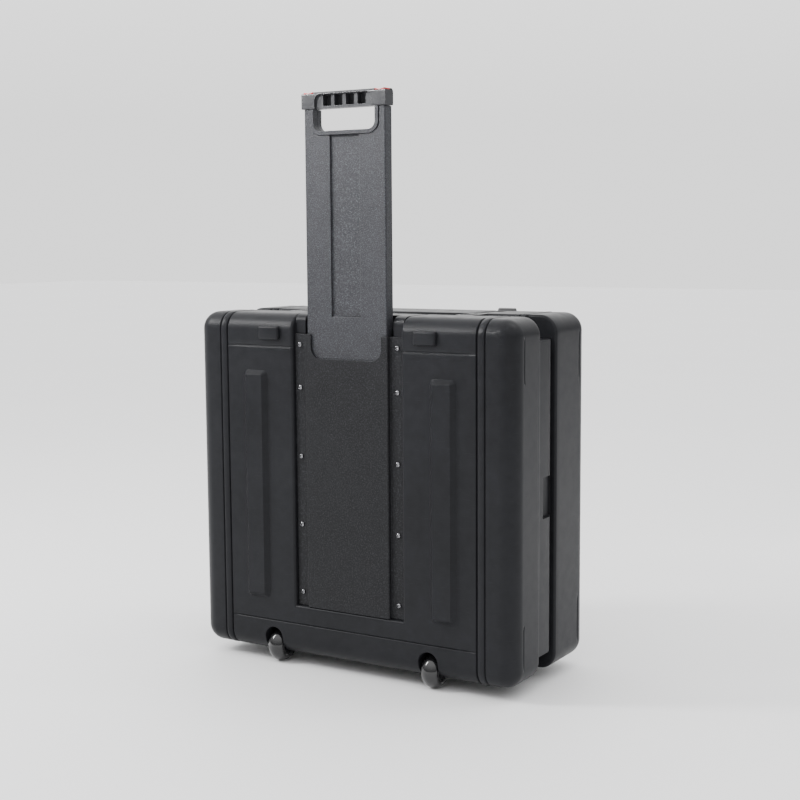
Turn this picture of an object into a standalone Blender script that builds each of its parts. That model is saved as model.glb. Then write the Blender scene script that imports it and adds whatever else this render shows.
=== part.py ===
"""Drone carrying case: a hard trolley case with a pull-out handle, wheels, latches and cut foam.

Metres, +Z up. The trolley side faces -Y, the lid +Y. X = 0 is the middle of the width, Y = 0 the middle
of the whole depth, and Z = 0 the ground. At rest the case stands closed, with its trolley handle out.
"""

import math

import bmesh
import bpy
from mathutils import Matrix, Vector

# ---------------------------------------------------------------- driving dimensions
WIDTH, HEIGHT, DEPTH = 0.560, 0.530, 0.243
GROUND_GAP = 0.017  # under the body
WHEEL_PROUD = 0.005  # behind the back face
WALL = 0.0045
GAP = 0.0003  # between pieces that touch
CORNER, EDGE = 0.028, 0.026  # corner radius seen from the back, and edge radius around both faces

BACK = -(DEPTH + WHEEL_PROUD) / 2
BACK_FACE = BACK + WHEEL_PROUD
FRONT_FACE = BACK_FACE + DEPTH
BOTTOM, TOP = GROUND_GAP, GROUND_GAP + HEIGHT
HALF = WIDTH / 2

CHANNEL_DEPTH = 0.034  # the groove around the case between its two bumpers
CHANNEL = BACK_FACE + 0.083
PARTING = BACK_FACE + 0.133
SLOPE_START = BACK_FACE + 0.112  # where the side begins to slope in to the parting line
NECK_HALF = HALF - 0.009
RIM_HALF, RIM_INSET = 0.260, 0.010  # the opening: half its width, and its rim's height in the channel floor
NECK_BOTTOM, NECK_TOP = BOTTOM + CHANNEL_DEPTH, TOP - CHANNEL_DEPTH

RECESS_HALF, RECESS_BOTTOM = 0.096, TOP - 0.449
RECESS_FLOOR = BACK_FACE + 0.010
SLOT_HALF, SLOT_BOTTOM = 0.078, RECESS_BOTTOM + 0.004
SLOT_FLOOR = BACK_FACE + 0.034

COVER_TOP = TOP - 0.030
COVER_HALF, COVER_SKIN, COVER_FLANGE = 0.0735, 0.003, 0.0955
NOTCH_HALF, NOTCH_BOTTOM, NOTCH_ROUND = 0.062, TOP - 0.0665, 0.018
SCREW_X, SHANK_RADIUS, SHANK_LONG, PILOT_HOLE, FLANGE_HOLE = 0.0863, 0.0017, 0.010, 0.0021, 0.0023
HEAD_WIDE, HEAD_NARROW, HEAD_HIGH = 0.0042, 0.0029, 0.0024
CROSS_LONG, CROSS_WIDE, CROSS_DEEP = 0.0038, 0.0009, 0.0012
SCREW_TOP, SCREW_FIRST_STEP, SCREW_STEP = TOP - 0.046, 0.065, 0.1055

PLATE_HALF, PLATE_THICK, PLATE_LENGTH = 0.0705, 0.019, 0.440
PLATE_BACK = BACK_FACE + 0.0035
TRAVEL = 0.326
GRIP_TOP = TOP + TRAVEL
GRIP_HALF, GRIP_THICK, GRIP_HEIGHT = 0.073, 0.0215, 0.0245
GRIP_BACK = PLATE_BACK - 0.003
HOLE_HALF, HOLE_FLOOR, HOLE_ROUND = 0.0535, GRIP_TOP - 0.057, 0.012
FRAME_BORDER, FRAME_PROUD = 0.0058, 0.0015
PANEL_HALF, PANEL_DEEP, PANEL_FOOT = 0.0255, 0.003, TOP - 0.003
SCOOP_HALF, SCOOP_DEEP = 0.050, 0.004
GRIP_POCKETS, POCKET_PITCH, POCKET_HALF, POCKET_DEEP = 4, 0.0200, 0.0070, 0.014
PLATE_TOP = GRIP_TOP - GRIP_HEIGHT - GAP
PLATE_BOTTOM = GRIP_TOP - PLATE_LENGTH
PLATE_MID = PLATE_BACK + PLATE_THICK / 2

BUTTON_X, BUTTON_HALF, BUTTON_FOOT, BUTTON_PROUD = 0.062, 0.008, GRIP_TOP - 0.006, 0.002
BUTTON_DEEP = (GRIP_BACK + 0.0015, PLATE_MID + 0.0060)
DISH_RADIUS, DISH_DEEP = 0.022, 0.0015
ROD_X, ROD_RADIUS, ROD_PLAY, RELEASE_Y = 0.065, 0.002, 0.0006, PLATE_MID + 0.0025
BOLT_Z, BOLT_HALF_DEEP = PLATE_BOTTOM + 0.009, 0.0035
BOLT_END, BOLT_TIP, RAMP_NEAR, RAMP_FAR = 0.054, 0.073, 0.0616, 0.0695
RAMP_FOOT, RAMP_TOP, ROD_FOOT = BOLT_Z + 0.006, BOLT_Z + 0.0165, BOLT_Z + 0.0147
SPRING_START, SPRING_END, SPRING_Z = 0.0412, 0.0532, BOLT_Z + 0.008
SPRING_TURNS, SPRING_RADIUS, SPRING_WIRE = 5, 0.0024, 0.0004

WHEEL_X, WHEEL_RADIUS, WHEEL_HALF, WHEEL_CROWN = 0.139, 0.026, 0.014, 0.007
WHEEL_Y, AXLE_RADIUS, HUB_RADIUS, HUB_BEVEL = BACK + WHEEL_RADIUS, 0.0035, 0.015, 0.001
ARCH_HALF, ARCH_TOP, ARCH_DEPTH = 0.0165, BOTTOM + 0.041, 0.056

RIB_NEAR, RIB_FAR, RIB_PROUD = 0.1475, 0.184, 0.004  # the ribs on the back that it slides on
RIB_FOOT, RIB_TOP = BOTTOM + 0.090, TOP - 0.091
BLOCK_NEAR, BLOCK_FAR, BLOCK_SEAT = 0.119, 0.156, 0.0025  # with the ribs, it lies on them when open
BLOCK_FOOT, BLOCK_TOP = TOP - 0.040, TOP - 0.019
SIDE_POCKET_BACK, SIDE_POCKET_FRONT, SIDE_POCKET_DEEP = BACK_FACE + 0.090, BACK_FACE + 0.126, 0.009
SIDE_POCKET_FOOT, SIDE_POCKET_TOP = TOP - 0.293, TOP - 0.232
FOOT_X, FOOT_HALF, FOOT_Y, FOOT_HALF_DEEP = 0.190, 0.020, FRONT_FACE - 0.048, 0.012
SEAL_WIDE, SEAL_DEEP, SEAL_FROM_EDGE = 0.005, 0.0038, 0.0025
SEAL_OUTER, SEAL_INNER = NECK_HALF - SEAL_FROM_EDGE, NECK_HALF - SEAL_FROM_EDGE - SEAL_WIDE

HINGE_X, HINGE_HALF, LEAF, LEAF_LONG = 0.150, 0.035, 0.0025, 0.030
HINGE_PIN, HINGE_BORE = 0.0018, 0.0021
HINGE_Y, HINGE_Z, KNUCKLE = PARTING - 0.005, NECK_BOTTOM - 0.0055, 0.0035

LATCH_X, LATCH_HALF = 0.150, 0.0135
LATCH_PIVOT_Y, LATCH_PIVOT_Z, LATCH_KNUCKLE = FRONT_FACE - 0.013, TOP - 0.003, 0.0065
LATCH_PIN, LATCH_BORE = 0.002, 0.0023
LATCH_NOSE, LATCH_NOSE_THICK, LATCH_DROP, LATCH_THICK = PARTING - 0.047, 0.0065, 0.010, 0.0063
KEEPER_GAP, KEEPER_DEEP, KEEPER_UNDER = 0.001, 0.015, 0.0006
TROUGH_HALF, TROUGH_FLOOR = LATCH_HALF + 0.001, TOP - 0.011
BRIDGE_HALF, BRIDGE_TOP = 0.026, TOP - 0.012

CARRY_Y, CARRY_Z = CHANNEL + 0.012, NECK_TOP + 0.010
CARRY_LEG, CARRY_HALF, CARRY_BAR, CARRY_LEG_WIDE = 0.028, 0.074, 0.0075, 0.011
CARRY_PIN, CARRY_BORE = 0.003, 0.0033
MOUNT_NEAR, MOUNT_FAR, MOUNT_RADIUS = CARRY_HALF + 0.001, CARRY_HALF + 0.015, 0.008

FOAM_GAP = 0.002
FOAM_BACK, FOAM_FLOOR = SLOT_FLOOR + 0.008, 0.030
FOAM_LID, FOAM_LID_GAP = 0.045, 0.003
BODY_POCKET, CROSS_POCKET = (0.060, 0.150), (0.150, 0.035)  # half width, half height
ARM_POCKET, ARM_X = (0.028, 0.190), 0.130
BATTERY_POCKET, BATTERY_X, BATTERY_PITCH = (0.028, 0.045), 0.212, 0.120

# name: (colour, roughness, metallic)
FINISHES = {
    "shell_plastic": ((0.045, 0.047, 0.051), 0.45, 0.0),
    "grained_plastic": ((0.075, 0.078, 0.084), 0.55, 0.0),
    "black_plastic": ((0.020, 0.020, 0.022), 0.40, 0.0),
    "red_plastic": ((0.620, 0.045, 0.045), 0.35, 0.0),
    "wheel_rubber": ((0.012, 0.012, 0.013), 0.18, 0.0),
    "soft_rubber": ((0.020, 0.020, 0.020), 0.70, 0.0),
    "bright_steel": ((0.720, 0.720, 0.730), 0.25, 1.0),
    "foam": ((0.030, 0.030, 0.032), 0.95, 0.0),
}


# ---------------------------------------------------------------- scene and materials
for old in list(bpy.data.objects):
    bpy.data.objects.remove(old, do_unlink=True)

PARTS = bpy.data.collections.new("drone_carrying_case")
CUTTERS = bpy.data.collections.new("cutters")
for group in (PARTS, CUTTERS):
    bpy.context.scene.collection.children.link(group)


def make_material(name, colour, roughness, metallic):
    material = bpy.data.materials.new(name)
    material.use_nodes = True
    shader = material.node_tree.nodes["Principled BSDF"]
    shader.inputs["Base Color"].default_value = (*colour, 1.0)
    shader.inputs["Roughness"].default_value = roughness
    shader.inputs["Metallic"].default_value = metallic
    return material


MATERIALS = {name: make_material(name, *finish) for name, finish in FINISHES.items()}


# ---------------------------------------------------------------- shape helpers
def add_object(name, data, finish=None):
    """A part when it has a finish, otherwise a cutter."""
    obj = bpy.data.objects.new(name, data)
    if finish:
        PARTS.objects.link(obj)
        data.materials.append(MATERIALS[finish])
    else:
        CUTTERS.objects.link(obj)
        obj.hide_render = True
        obj.display_type = "WIRE"
    return obj


def from_bmesh(name, bm, finish=None):
    bmesh.ops.recalc_face_normals(bm, faces=bm.faces)
    mesh = bpy.data.meshes.new(name)
    bm.to_mesh(mesh)
    bm.free()
    return add_object(name, mesh, finish)


def cube(x, y, z):
    """A bmesh box from three (low, high) pairs."""
    bm = bmesh.new()
    bmesh.ops.create_cube(bm, size=1.0)
    for vert in bm.verts:
        vert.co = Vector(low + (high - low) * (t + 0.5) for (low, high), t in zip((x, y, z), vert.co))
    return bm


def span(half):
    return (-half, half)


def around(centre, half):
    return (centre - half, centre + half)


def side_span(side, low, high):
    """The X range from low to high on one side of the middle."""
    return tuple(sorted((side * low, side * high)))


def bevel_edges(bm, edges, radius, segments):
    bmesh.ops.bevel(
        bm, geom=list(edges), offset=radius, segments=segments, profile=0.5, affect="EDGES",
        clamp_overlap=False,
    )


def edges_along(bm, axis):
    """The straight edges parallel to an axis, 0, 1 or 2."""
    def parallel(edge):
        run = edge.verts[1].co - edge.verts[0].co
        return abs(run[axis]) > 0.99 * run.length
    return [edge for edge in bm.edges if parallel(edge)]


def edges_at(bm, axis, value):
    return [edge for edge in bm.edges if all(abs(vert.co[axis] - value) < 1e-6 for vert in edge.verts)]


def box(name, x, y, z, finish=None, corners=None, rims=()):
    """A box. corners is (axis, radius, segments) for the edges along an axis, and each rim is
    (axis, value, radius, segments) for the edges around one face."""
    bm = cube(x, y, z)
    if corners:
        axis, radius, segments = corners
        bevel_edges(bm, edges_along(bm, axis), radius, segments)
    for axis, value, radius, segments in rims:
        bevel_edges(bm, edges_at(bm, axis, value), radius, segments)
    return from_bmesh(name, bm, finish)


def prism(name, outline, axis, low, high, finish=None):
    """An outline extruded along an axis; its points are the other two coordinates, in X, Y, Z order."""
    bm = bmesh.new()
    def place(point):
        coords = list(point)
        coords.insert(axis, low)
        return coords
    face = bm.faces.new([bm.verts.new(place(point)) for point in outline])
    grown = bmesh.ops.extrude_face_region(bm, geom=[face])["geom"]
    shift = Vector((0.0, 0.0, 0.0))
    shift[axis] = high - low
    bmesh.ops.translate(bm, vec=shift, verts=[item for item in grown if isinstance(item, bmesh.types.BMVert)])
    return from_bmesh(name, bm, finish)


def cylinder(name, centre, radius, low, high, axis, finish=None, segments=16):
    """A round bar along an axis; centre holds the other two coordinates, in X, Y, Z order."""
    place = list(centre)
    place.insert(axis, (low + high) / 2)
    turns = (Matrix.Rotation(math.pi / 2, 4, "Y"), Matrix.Rotation(math.pi / 2, 4, "X"), Matrix.Identity(4))
    bm = bmesh.new()
    bmesh.ops.create_cone(
        bm, cap_ends=True, segments=segments, radius1=radius, radius2=radius, depth=high - low,
        matrix=Matrix.Translation(place) @ turns[axis],
    )
    return from_bmesh(name, bm, finish)


def boolean(obj, operation, *others):
    for other in others:
        modifier = obj.modifiers.new(other.name, "BOOLEAN")
        modifier.operation = operation
        modifier.solver = "EXACT"
        modifier.object = other
    return obj


def cut(obj, *others):
    return boolean(obj, "DIFFERENCE", *others)


def join(obj, *others):
    return boolean(obj, "UNION", *others)


def evaluated_mesh(obj):
    bpy.context.view_layer.update()
    graph = bpy.context.evaluated_depsgraph_get()
    return bpy.data.meshes.new_from_object(obj.evaluated_get(graph))


def smooth(obj, degrees=35):
    """Shades round faces smooth and keeps the edges sharper than the angle."""
    obj.data.shade_smooth()
    obj.data.set_sharp_from_angle(angle=math.radians(degrees))
    return obj


def arc(centre, radius, start, end, steps):
    """Points of an arc in a plane, from start to end in degrees."""
    angles = [math.radians(start + (end - start) * i / steps) for i in range(steps + 1)]
    return [(centre[0] + radius * math.cos(a), centre[1] + radius * math.sin(a)) for a in angles]


def u_outline(half, floor, rounding, top):
    """A U with rounded lower corners, open at the top; half is half its width."""
    corner, low = half - rounding, floor + rounding
    return [(-half, top), *arc((-corner, low), rounding, 180, 270, 4),
            *arc((corner, low), rounding, 270, 360, 4), (half, top)]


SIDES = (("left", -1), ("right", 1))


# ---------------------------------------------------------------- rear shell, on the trolley side
def wheel_arch(side, grow=0.0, depth=ARCH_DEPTH):
    """The slot with a round top that holds a wheel, seen from behind."""
    half = ARCH_HALF + grow
    middle = side * WHEEL_X
    round_z = ARCH_TOP - ARCH_HALF
    outline = [(middle + half, BOTTOM - 0.01), *arc((middle, round_z), half, 0, 180, 8),
               (middle - half, BOTTOM - 0.01)]
    return prism("wheel_arch", outline, 1, BACK_FACE - 0.01, BACK_FACE + depth + grow)


def screw_heights():
    return [SCREW_TOP] + [SCREW_TOP - SCREW_FIRST_STEP - i * SCREW_STEP for i in range(4)]


def rear_cavity():
    """The hollow inside the rear shell: behind the bumper, then through the neck and its rim."""
    cavity = box("rear_cavity", span(HALF - WALL), (BACK_FACE + WALL, CHANNEL - WALL),
                 (BOTTOM + WALL, TOP - WALL), corners=(1, CORNER - WALL, 3),
                 rims=[(1, BACK_FACE + WALL, EDGE - WALL, 3)])
    neck = box("neck_cavity", span(RIM_HALF + 0.008), (CHANNEL - 2 * WALL, PARTING - 0.026),
               (NECK_BOTTOM + 0.006, NECK_TOP - 0.006))
    rim = box("rim_cavity", span(RIM_HALF), (CHANNEL, PARTING + 0.01),
              (NECK_BOTTOM + RIM_INSET, NECK_TOP - RIM_INSET))
    join(cavity, neck, rim)
    seat_wall = box("recess_wall", span(RECESS_HALF + WALL), (BACK_FACE - 0.01, RECESS_FLOOR + WALL),
                    (RECESS_BOTTOM - WALL, TOP + 0.01))
    slot_wall = box("slot_wall", span(SLOT_HALF + WALL), (BACK_FACE - 0.01, SLOT_FLOOR + WALL),
                    (SLOT_BOTTOM - WALL, TOP + 0.01))
    arches = [wheel_arch(side, grow=WALL) for _, side in SIDES]
    return cut(cavity, seat_wall, slot_wall, *arches)


def seal_ring(name, clearance, front, finish=None):
    """The groove around the rim, or the square rubber cord in it, which is smaller by the clearance."""
    inset = SEAL_FROM_EDGE + clearance
    ring = box(name, span(SEAL_OUTER - clearance), (PARTING - SEAL_DEEP + clearance, front),
               (NECK_BOTTOM + inset, NECK_TOP - inset), finish)
    inset = SEAL_FROM_EDGE + SEAL_WIDE - clearance
    middle = box("ring_middle", span(SEAL_INNER + clearance), (PARTING - 0.02, PARTING + 0.02),
                 (NECK_BOTTOM + inset, NECK_TOP - inset))
    return cut(ring, middle)


def make_rear_shell():
    shell = box("rear_shell", span(HALF), (BACK_FACE, CHANNEL), (BOTTOM, TOP), "shell_plastic",
                corners=(1, CORNER, 5), rims=[(1, BACK_FACE, EDGE, 5), (1, CHANNEL, 0.006, 2)])
    neck = prism("neck", [(-HALF, CHANNEL - 0.01), (-HALF, SLOPE_START), (-NECK_HALF, PARTING - GAP),
                          (NECK_HALF, PARTING - GAP), (HALF, SLOPE_START), (HALF, CHANNEL - 0.01)],
                 2, NECK_BOTTOM, NECK_TOP)
    bridges = [box("latch_bridge", around(side * LATCH_X, BRIDGE_HALF), (CHANNEL - 0.01, PARTING - GAP),
                   (NECK_TOP - 0.003, BRIDGE_TOP)) for _, side in SIDES]
    ribs = [box("rub_rib", side_span(side, RIB_NEAR, RIB_FAR), (BACK_FACE - RIB_PROUD, BACK_FACE + 0.003),
                (RIB_FOOT, RIB_TOP), corners=(1, 0.006, 2)) for _, side in SIDES]
    join(shell, neck, *bridges, *ribs)
    cut(shell, rear_cavity())
    cut(shell,
        box("recess", span(RECESS_HALF), (BACK_FACE - 0.01, RECESS_FLOOR), (RECESS_BOTTOM, TOP + 0.01)),
        box("handle_slot", span(SLOT_HALF), (BACK_FACE - 0.01, SLOT_FLOOR), (SLOT_BOTTOM, TOP + 0.01)))
    for _, side in SIDES:
        cut(shell,
            wheel_arch(side),
            cylinder("axle_seat", (WHEEL_Y, WHEEL_RADIUS), AXLE_RADIUS + GAP,
                     *around(side * WHEEL_X, ARCH_HALF + 0.0035), 0),
            box("block_seat", side_span(side, BLOCK_NEAR - GAP, BLOCK_FAR + GAP),
                (BACK_FACE - 0.01, BACK_FACE + BLOCK_SEAT), (BLOCK_FOOT - GAP, BLOCK_TOP + GAP)),
            box("side_pocket", side_span(side, HALF - SIDE_POCKET_DEEP, HALF + 0.01),
                (SIDE_POCKET_BACK, SIDE_POCKET_FRONT), (SIDE_POCKET_FOOT, SIDE_POCKET_TOP)))
        for height in screw_heights():
            cut(shell, cylinder("screw_hole", (side * SCREW_X, height), PILOT_HOLE,
                                RECESS_FLOOR - 0.005, RECESS_FLOOR + WALL + 0.005, 1, segments=10))
    cut(shell, seal_ring("seal_groove", 0.0, PARTING + 0.01))
    return smooth(shell)


def make_rear_feet():
    """Blocks near the top that the case lies on, with the ribs, when it is opened flat."""
    for label, side in SIDES:
        box(f"rear_foot_{label}", side_span(side, BLOCK_NEAR, BLOCK_FAR),
            (BACK_FACE - RIB_PROUD, BACK_FACE + BLOCK_SEAT - GAP), (BLOCK_FOOT, BLOCK_TOP), "black_plastic",
            corners=(1, 0.002, 1), rims=[(1, BACK_FACE - RIB_PROUD, 0.001, 1)])


# ---------------------------------------------------------------- handle cover, its screws and guides
def make_cover():
    """A hat section: the raised middle is flush with the back, and a flange each side takes the screws."""
    skin = BACK_FACE + COVER_SKIN
    seat = RECESS_FLOOR - GAP
    inner = COVER_HALF - 0.0023
    outline = [(-COVER_FLANGE, seat), (-COVER_FLANGE, seat - COVER_SKIN), (-COVER_HALF, seat - COVER_SKIN),
               (-COVER_HALF, BACK_FACE), (COVER_HALF, BACK_FACE), (COVER_HALF, seat - COVER_SKIN),
               (COVER_FLANGE, seat - COVER_SKIN), (COVER_FLANGE, seat), (inner, seat), (inner, skin),
               (-inner, skin), (-inner, seat)]
    cover = prism("handle_cover", outline, 2, RECESS_BOTTOM + 0.0005, COVER_TOP, "shell_plastic")
    cut(cover, prism("cover_notch", u_outline(NOTCH_HALF, NOTCH_BOTTOM, NOTCH_ROUND, COVER_TOP + 0.01),
                     1, BACK_FACE - 0.01, skin + 0.003))
    for _, side in SIDES:
        for height in screw_heights():
            cut(cover, cylinder("flange_hole", (side * SCREW_X, height), FLANGE_HOLE,
                                seat - 0.01, seat + 0.005, 1, segments=10))
    return cover


def screw_mesh():
    """A pan-head screw with a cross recess, its axis along Y, its head's seat at the origin and facing -Y."""
    bm = bmesh.new()
    turn = Matrix.Rotation(math.pi / 2, 4, "X")
    bmesh.ops.create_cone(
        bm, cap_ends=True, segments=14, radius1=HEAD_WIDE, radius2=HEAD_NARROW, depth=HEAD_HIGH,
        matrix=turn @ Matrix.Translation((0, 0, HEAD_HIGH / 2)),
    )
    head = from_bmesh("screw_head", bm)
    join(head, cylinder("screw_shank", (0.0, 0.0), SHANK_RADIUS, -0.0005, SHANK_LONG, 1, segments=14))
    for width, height in ((CROSS_LONG, CROSS_WIDE), (CROSS_WIDE, CROSS_LONG)):
        cut(head, box("cross_slot", span(width / 2), (-0.004, -CROSS_DEEP), span(height / 2)))
    mesh = evaluated_mesh(head)
    mesh.name = "cover_screw"
    mesh.materials.clear()
    mesh.materials.append(MATERIALS["bright_steel"])
    return mesh


def make_cover_screws():
    mesh = screw_mesh()
    number = 0
    for _, side in SIDES:
        for height in screw_heights():
            number += 1
            screw = bpy.data.objects.new(f"cover_screw_{number:02d}", mesh)
            screw.location = (side * SCREW_X, RECESS_FLOOR - 2 * GAP - COVER_SKIN, height)
            PARTS.objects.link(screw)


def make_guides():
    """Rails that line the slot; a long groove in each takes the handle's lock bolt."""
    for label, side in SIDES:
        rail = box(f"handle_guide_{label}", side_span(side, COVER_HALF - 0.0021, SLOT_HALF - GAP),
                   (RECESS_FLOOR + GAP, SLOT_FLOOR - GAP), (SLOT_BOTTOM + GAP, COVER_TOP), "black_plastic")
        groove = box("bolt_groove", side_span(side, COVER_HALF - 0.005, BOLT_TIP + 0.001),
                     around(RELEASE_Y, BOLT_HALF_DEEP + 0.0005), (BOLT_Z - TRAVEL - 0.001, BOLT_Z + 0.0074))
        cut(rail, groove)


# ---------------------------------------------------------------- trolley handle
def make_plate():
    plate = box("handle_plate", span(PLATE_HALF), around(PLATE_MID, PLATE_THICK / 2),
                (PLATE_BOTTOM, PLATE_TOP), "grained_plastic", corners=(2, 0.0025, 2))
    floor = HOLE_FLOOR - FRAME_BORDER - GAP
    border = FRAME_BORDER + GAP
    seat = u_outline(HOLE_HALF + border, floor, HOLE_ROUND + border, PLATE_TOP + 0.01)
    cut(plate, prism("frame_seat", seat, 1, *around(PLATE_MID, 0.03)))
    cut(plate, box("plate_panel", span(PANEL_HALF), (PLATE_BACK - 0.01, PLATE_BACK + PANEL_DEEP),
                   (PANEL_FOOT, floor - 0.006)))
    for _, side in SIDES:
        cut(plate,
            cylinder("rod_bore", (side * ROD_X, RELEASE_Y), ROD_RADIUS + ROD_PLAY,
                     BOLT_Z + 0.004, PLATE_TOP + 0.01, 2, segments=10),
            box("bolt_pocket", side_span(side, 0.040, PLATE_HALF + 0.005),
                around(RELEASE_Y, BOLT_HALF_DEEP + GAP), (BOLT_Z - GAP, BOLT_Z + 0.018)))
    return smooth(plate)


def make_hole_frame():
    """The U-shaped liner of the hand hole, proud of the plate on both faces."""
    frame = prism("hand_hole_frame", u_outline(HOLE_HALF + FRAME_BORDER, HOLE_FLOOR - FRAME_BORDER,
                                               HOLE_ROUND + FRAME_BORDER, PLATE_TOP),
                  1, *around(PLATE_MID, PLATE_THICK / 2 + FRAME_PROUD), "grained_plastic")
    return cut(frame, prism("hand_hole", u_outline(HOLE_HALF, HOLE_FLOOR, HOLE_ROUND, PLATE_TOP + 0.01),
                            1, *around(PLATE_MID, 0.03)))


def make_grip():
    low = GRIP_TOP - GRIP_HEIGHT
    grip = box("handle_grip", span(GRIP_HALF), (GRIP_BACK, GRIP_BACK + GRIP_THICK), (low, GRIP_TOP),
               "black_plastic", corners=(1, 0.003, 2), rims=[(1, GRIP_BACK, 0.0015, 1)])
    cut(grip, box("grip_scoop", span(SCOOP_HALF), (GRIP_BACK - 0.01, GRIP_BACK + SCOOP_DEEP),
                  (low + 0.004, GRIP_TOP - 0.003)))
    for i in range(GRIP_POCKETS):
        middle = (i - (GRIP_POCKETS - 1) / 2) * POCKET_PITCH
        cut(grip, box("grip_pocket", around(middle, POCKET_HALF), (GRIP_BACK, GRIP_BACK + POCKET_DEEP),
                      (low + 0.004, GRIP_TOP - 0.004)))
    for _, side in SIDES:
        cut(grip,
            box("low_end", side_span(side, BUTTON_X - BUTTON_HALF - 0.0015, GRIP_HALF - 0.0015),
                (GRIP_BACK - 0.01, GRIP_BACK + GRIP_THICK + 0.01),
                (GRIP_TOP - BUTTON_PROUD, GRIP_TOP + 0.01)),
            box("button_well", around(side * BUTTON_X, BUTTON_HALF + GAP),
                (BUTTON_DEEP[0] - GAP, BUTTON_DEEP[1] + GAP), (GRIP_TOP - 0.012, GRIP_TOP + 0.01)),
            cylinder("rod_hole", (side * ROD_X, RELEASE_Y), ROD_RADIUS + ROD_PLAY,
                     low - 0.005, GRIP_TOP - 0.010, 2, segments=10))
    return grip


def make_release():
    """A red thumb button each side, whose rod runs down to a sprung bolt at the plate's foot."""
    for label, side in SIDES:
        button = box(f"release_button_{label}", around(side * BUTTON_X, BUTTON_HALF),
                     BUTTON_DEEP, (BUTTON_FOOT, GRIP_TOP), "red_plastic", corners=(2, 0.002, 2))
        dish = cylinder("thumb_dish", (side * BUTTON_X, GRIP_TOP + DISH_RADIUS - DISH_DEEP), DISH_RADIUS,
                        *around(PLATE_MID, 0.02), 1, segments=40)
        cut(button, dish)
        cylinder(f"release_rod_{label}", (side * ROD_X, RELEASE_Y), ROD_RADIUS, ROD_FOOT, BUTTON_FOOT - GAP,
                 2, "bright_steel", segments=10)
        outline = [(side * BOLT_END, BOLT_Z), (side * BOLT_TIP, BOLT_Z), (side * BOLT_TIP, RAMP_FOOT),
                   (side * RAMP_FAR, RAMP_FOOT), (side * RAMP_NEAR, RAMP_TOP), (side * BOLT_END, RAMP_TOP)]
        prism(f"lock_bolt_{label}", outline, 1, *around(RELEASE_Y, BOLT_HALF_DEEP), "black_plastic")
        make_spring(label, side)


def make_spring(label, side):
    """A coil behind the bolt, along X."""
    curve = bpy.data.curves.new(f"bolt_spring_{label}", "CURVE")
    curve.dimensions = "3D"
    curve.bevel_depth = SPRING_WIRE
    curve.bevel_resolution = 1
    curve.use_fill_caps = True
    spline = curve.splines.new("POLY")
    steps = 9
    count = SPRING_TURNS * steps
    spline.points.add(count)
    for i, point in enumerate(spline.points):
        angle = 2 * math.pi * i / steps
        along = SPRING_START + (SPRING_END - SPRING_START) * i / count
        point.co = (side * along, RELEASE_Y + SPRING_RADIUS * math.cos(angle),
                    SPRING_Z + SPRING_RADIUS * math.sin(angle), 1.0)
    return add_object(f"bolt_spring_{label}", curve, "bright_steel")


# ---------------------------------------------------------------- wheels
def turned(name, profile, finish, steps=28):
    """A profile of (along, radius) points, closed and turned about X."""
    mesh = bpy.data.meshes.new(name)
    points = [(radius, 0.0, along) for along, radius in profile]
    edges = [(i, (i + 1) % len(points)) for i in range(len(points))]
    mesh.from_pydata(points, edges, [])
    obj = add_object(name, mesh, finish)
    screw = obj.modifiers.new("turn", "SCREW")
    screw.steps = screw.render_steps = steps
    screw.use_merge_vertices = True
    screw.merge_threshold = 0.00001
    screw.use_smooth_shade = True
    obj.rotation_euler = (0.0, math.pi / 2, 0.0)
    return obj


def tyre_radius(along):
    return WHEEL_RADIUS - WHEEL_CROWN * (along / WHEEL_HALF) ** 2


def make_wheels():
    bore = AXLE_RADIUS + GAP
    for label, side in SIDES:
        middle = Vector((side * WHEEL_X, WHEEL_Y, WHEEL_RADIUS))
        crown = [(WHEEL_HALF * (1 - i / 4), tyre_radius(WHEEL_HALF * (1 - i / 4))) for i in range(9)]
        inside = [(-WHEEL_HALF, HUB_RADIUS + GAP), (WHEEL_HALF, HUB_RADIUS + GAP)]
        tyre = turned(f"wheel_tyre_{label}", crown + inside, "wheel_rubber")
        rim = [(WHEEL_HALF, HUB_RADIUS - HUB_BEVEL), (WHEEL_HALF - HUB_BEVEL, HUB_RADIUS),
               (-WHEEL_HALF + HUB_BEVEL, HUB_RADIUS), (-WHEEL_HALF, HUB_RADIUS - HUB_BEVEL)]
        middle_bore = [(-WHEEL_HALF, bore), (WHEEL_HALF, bore)]
        hub = turned(f"wheel_hub_{label}", rim + middle_bore, "black_plastic", 20)
        tyre.location = hub.location = middle
        cylinder(f"wheel_axle_{label}", (WHEEL_Y, WHEEL_RADIUS), AXLE_RADIUS,
                 *around(side * WHEEL_X, ARCH_HALF + 0.003), 0, "bright_steel")


# ---------------------------------------------------------------- front shell, the lid
def lid_cavity():
    cavity = box("lid_cavity", span(HALF - WALL), (PARTING + 0.005, FRONT_FACE - WALL),
                 (BOTTOM + WALL, TOP - WALL), corners=(1, CORNER - WALL, 3),
                 rims=[(1, FRONT_FACE - WALL, EDGE - WALL, 3)])
    join(cavity, box("lid_mouth", span(RIM_HALF + FOAM_GAP), (PARTING - 0.01, PARTING + 0.01),
                     (NECK_BOTTOM + RIM_INSET, NECK_TOP - RIM_INSET)))
    troughs = [box("trough_wall", around(side * LATCH_X, TROUGH_HALF + WALL),
                   (PARTING - 0.02, FRONT_FACE + 0.01), (TROUGH_FLOOR - WALL, TOP + 0.01))
               for _, side in SIDES]
    return cut(cavity, *troughs)


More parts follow.
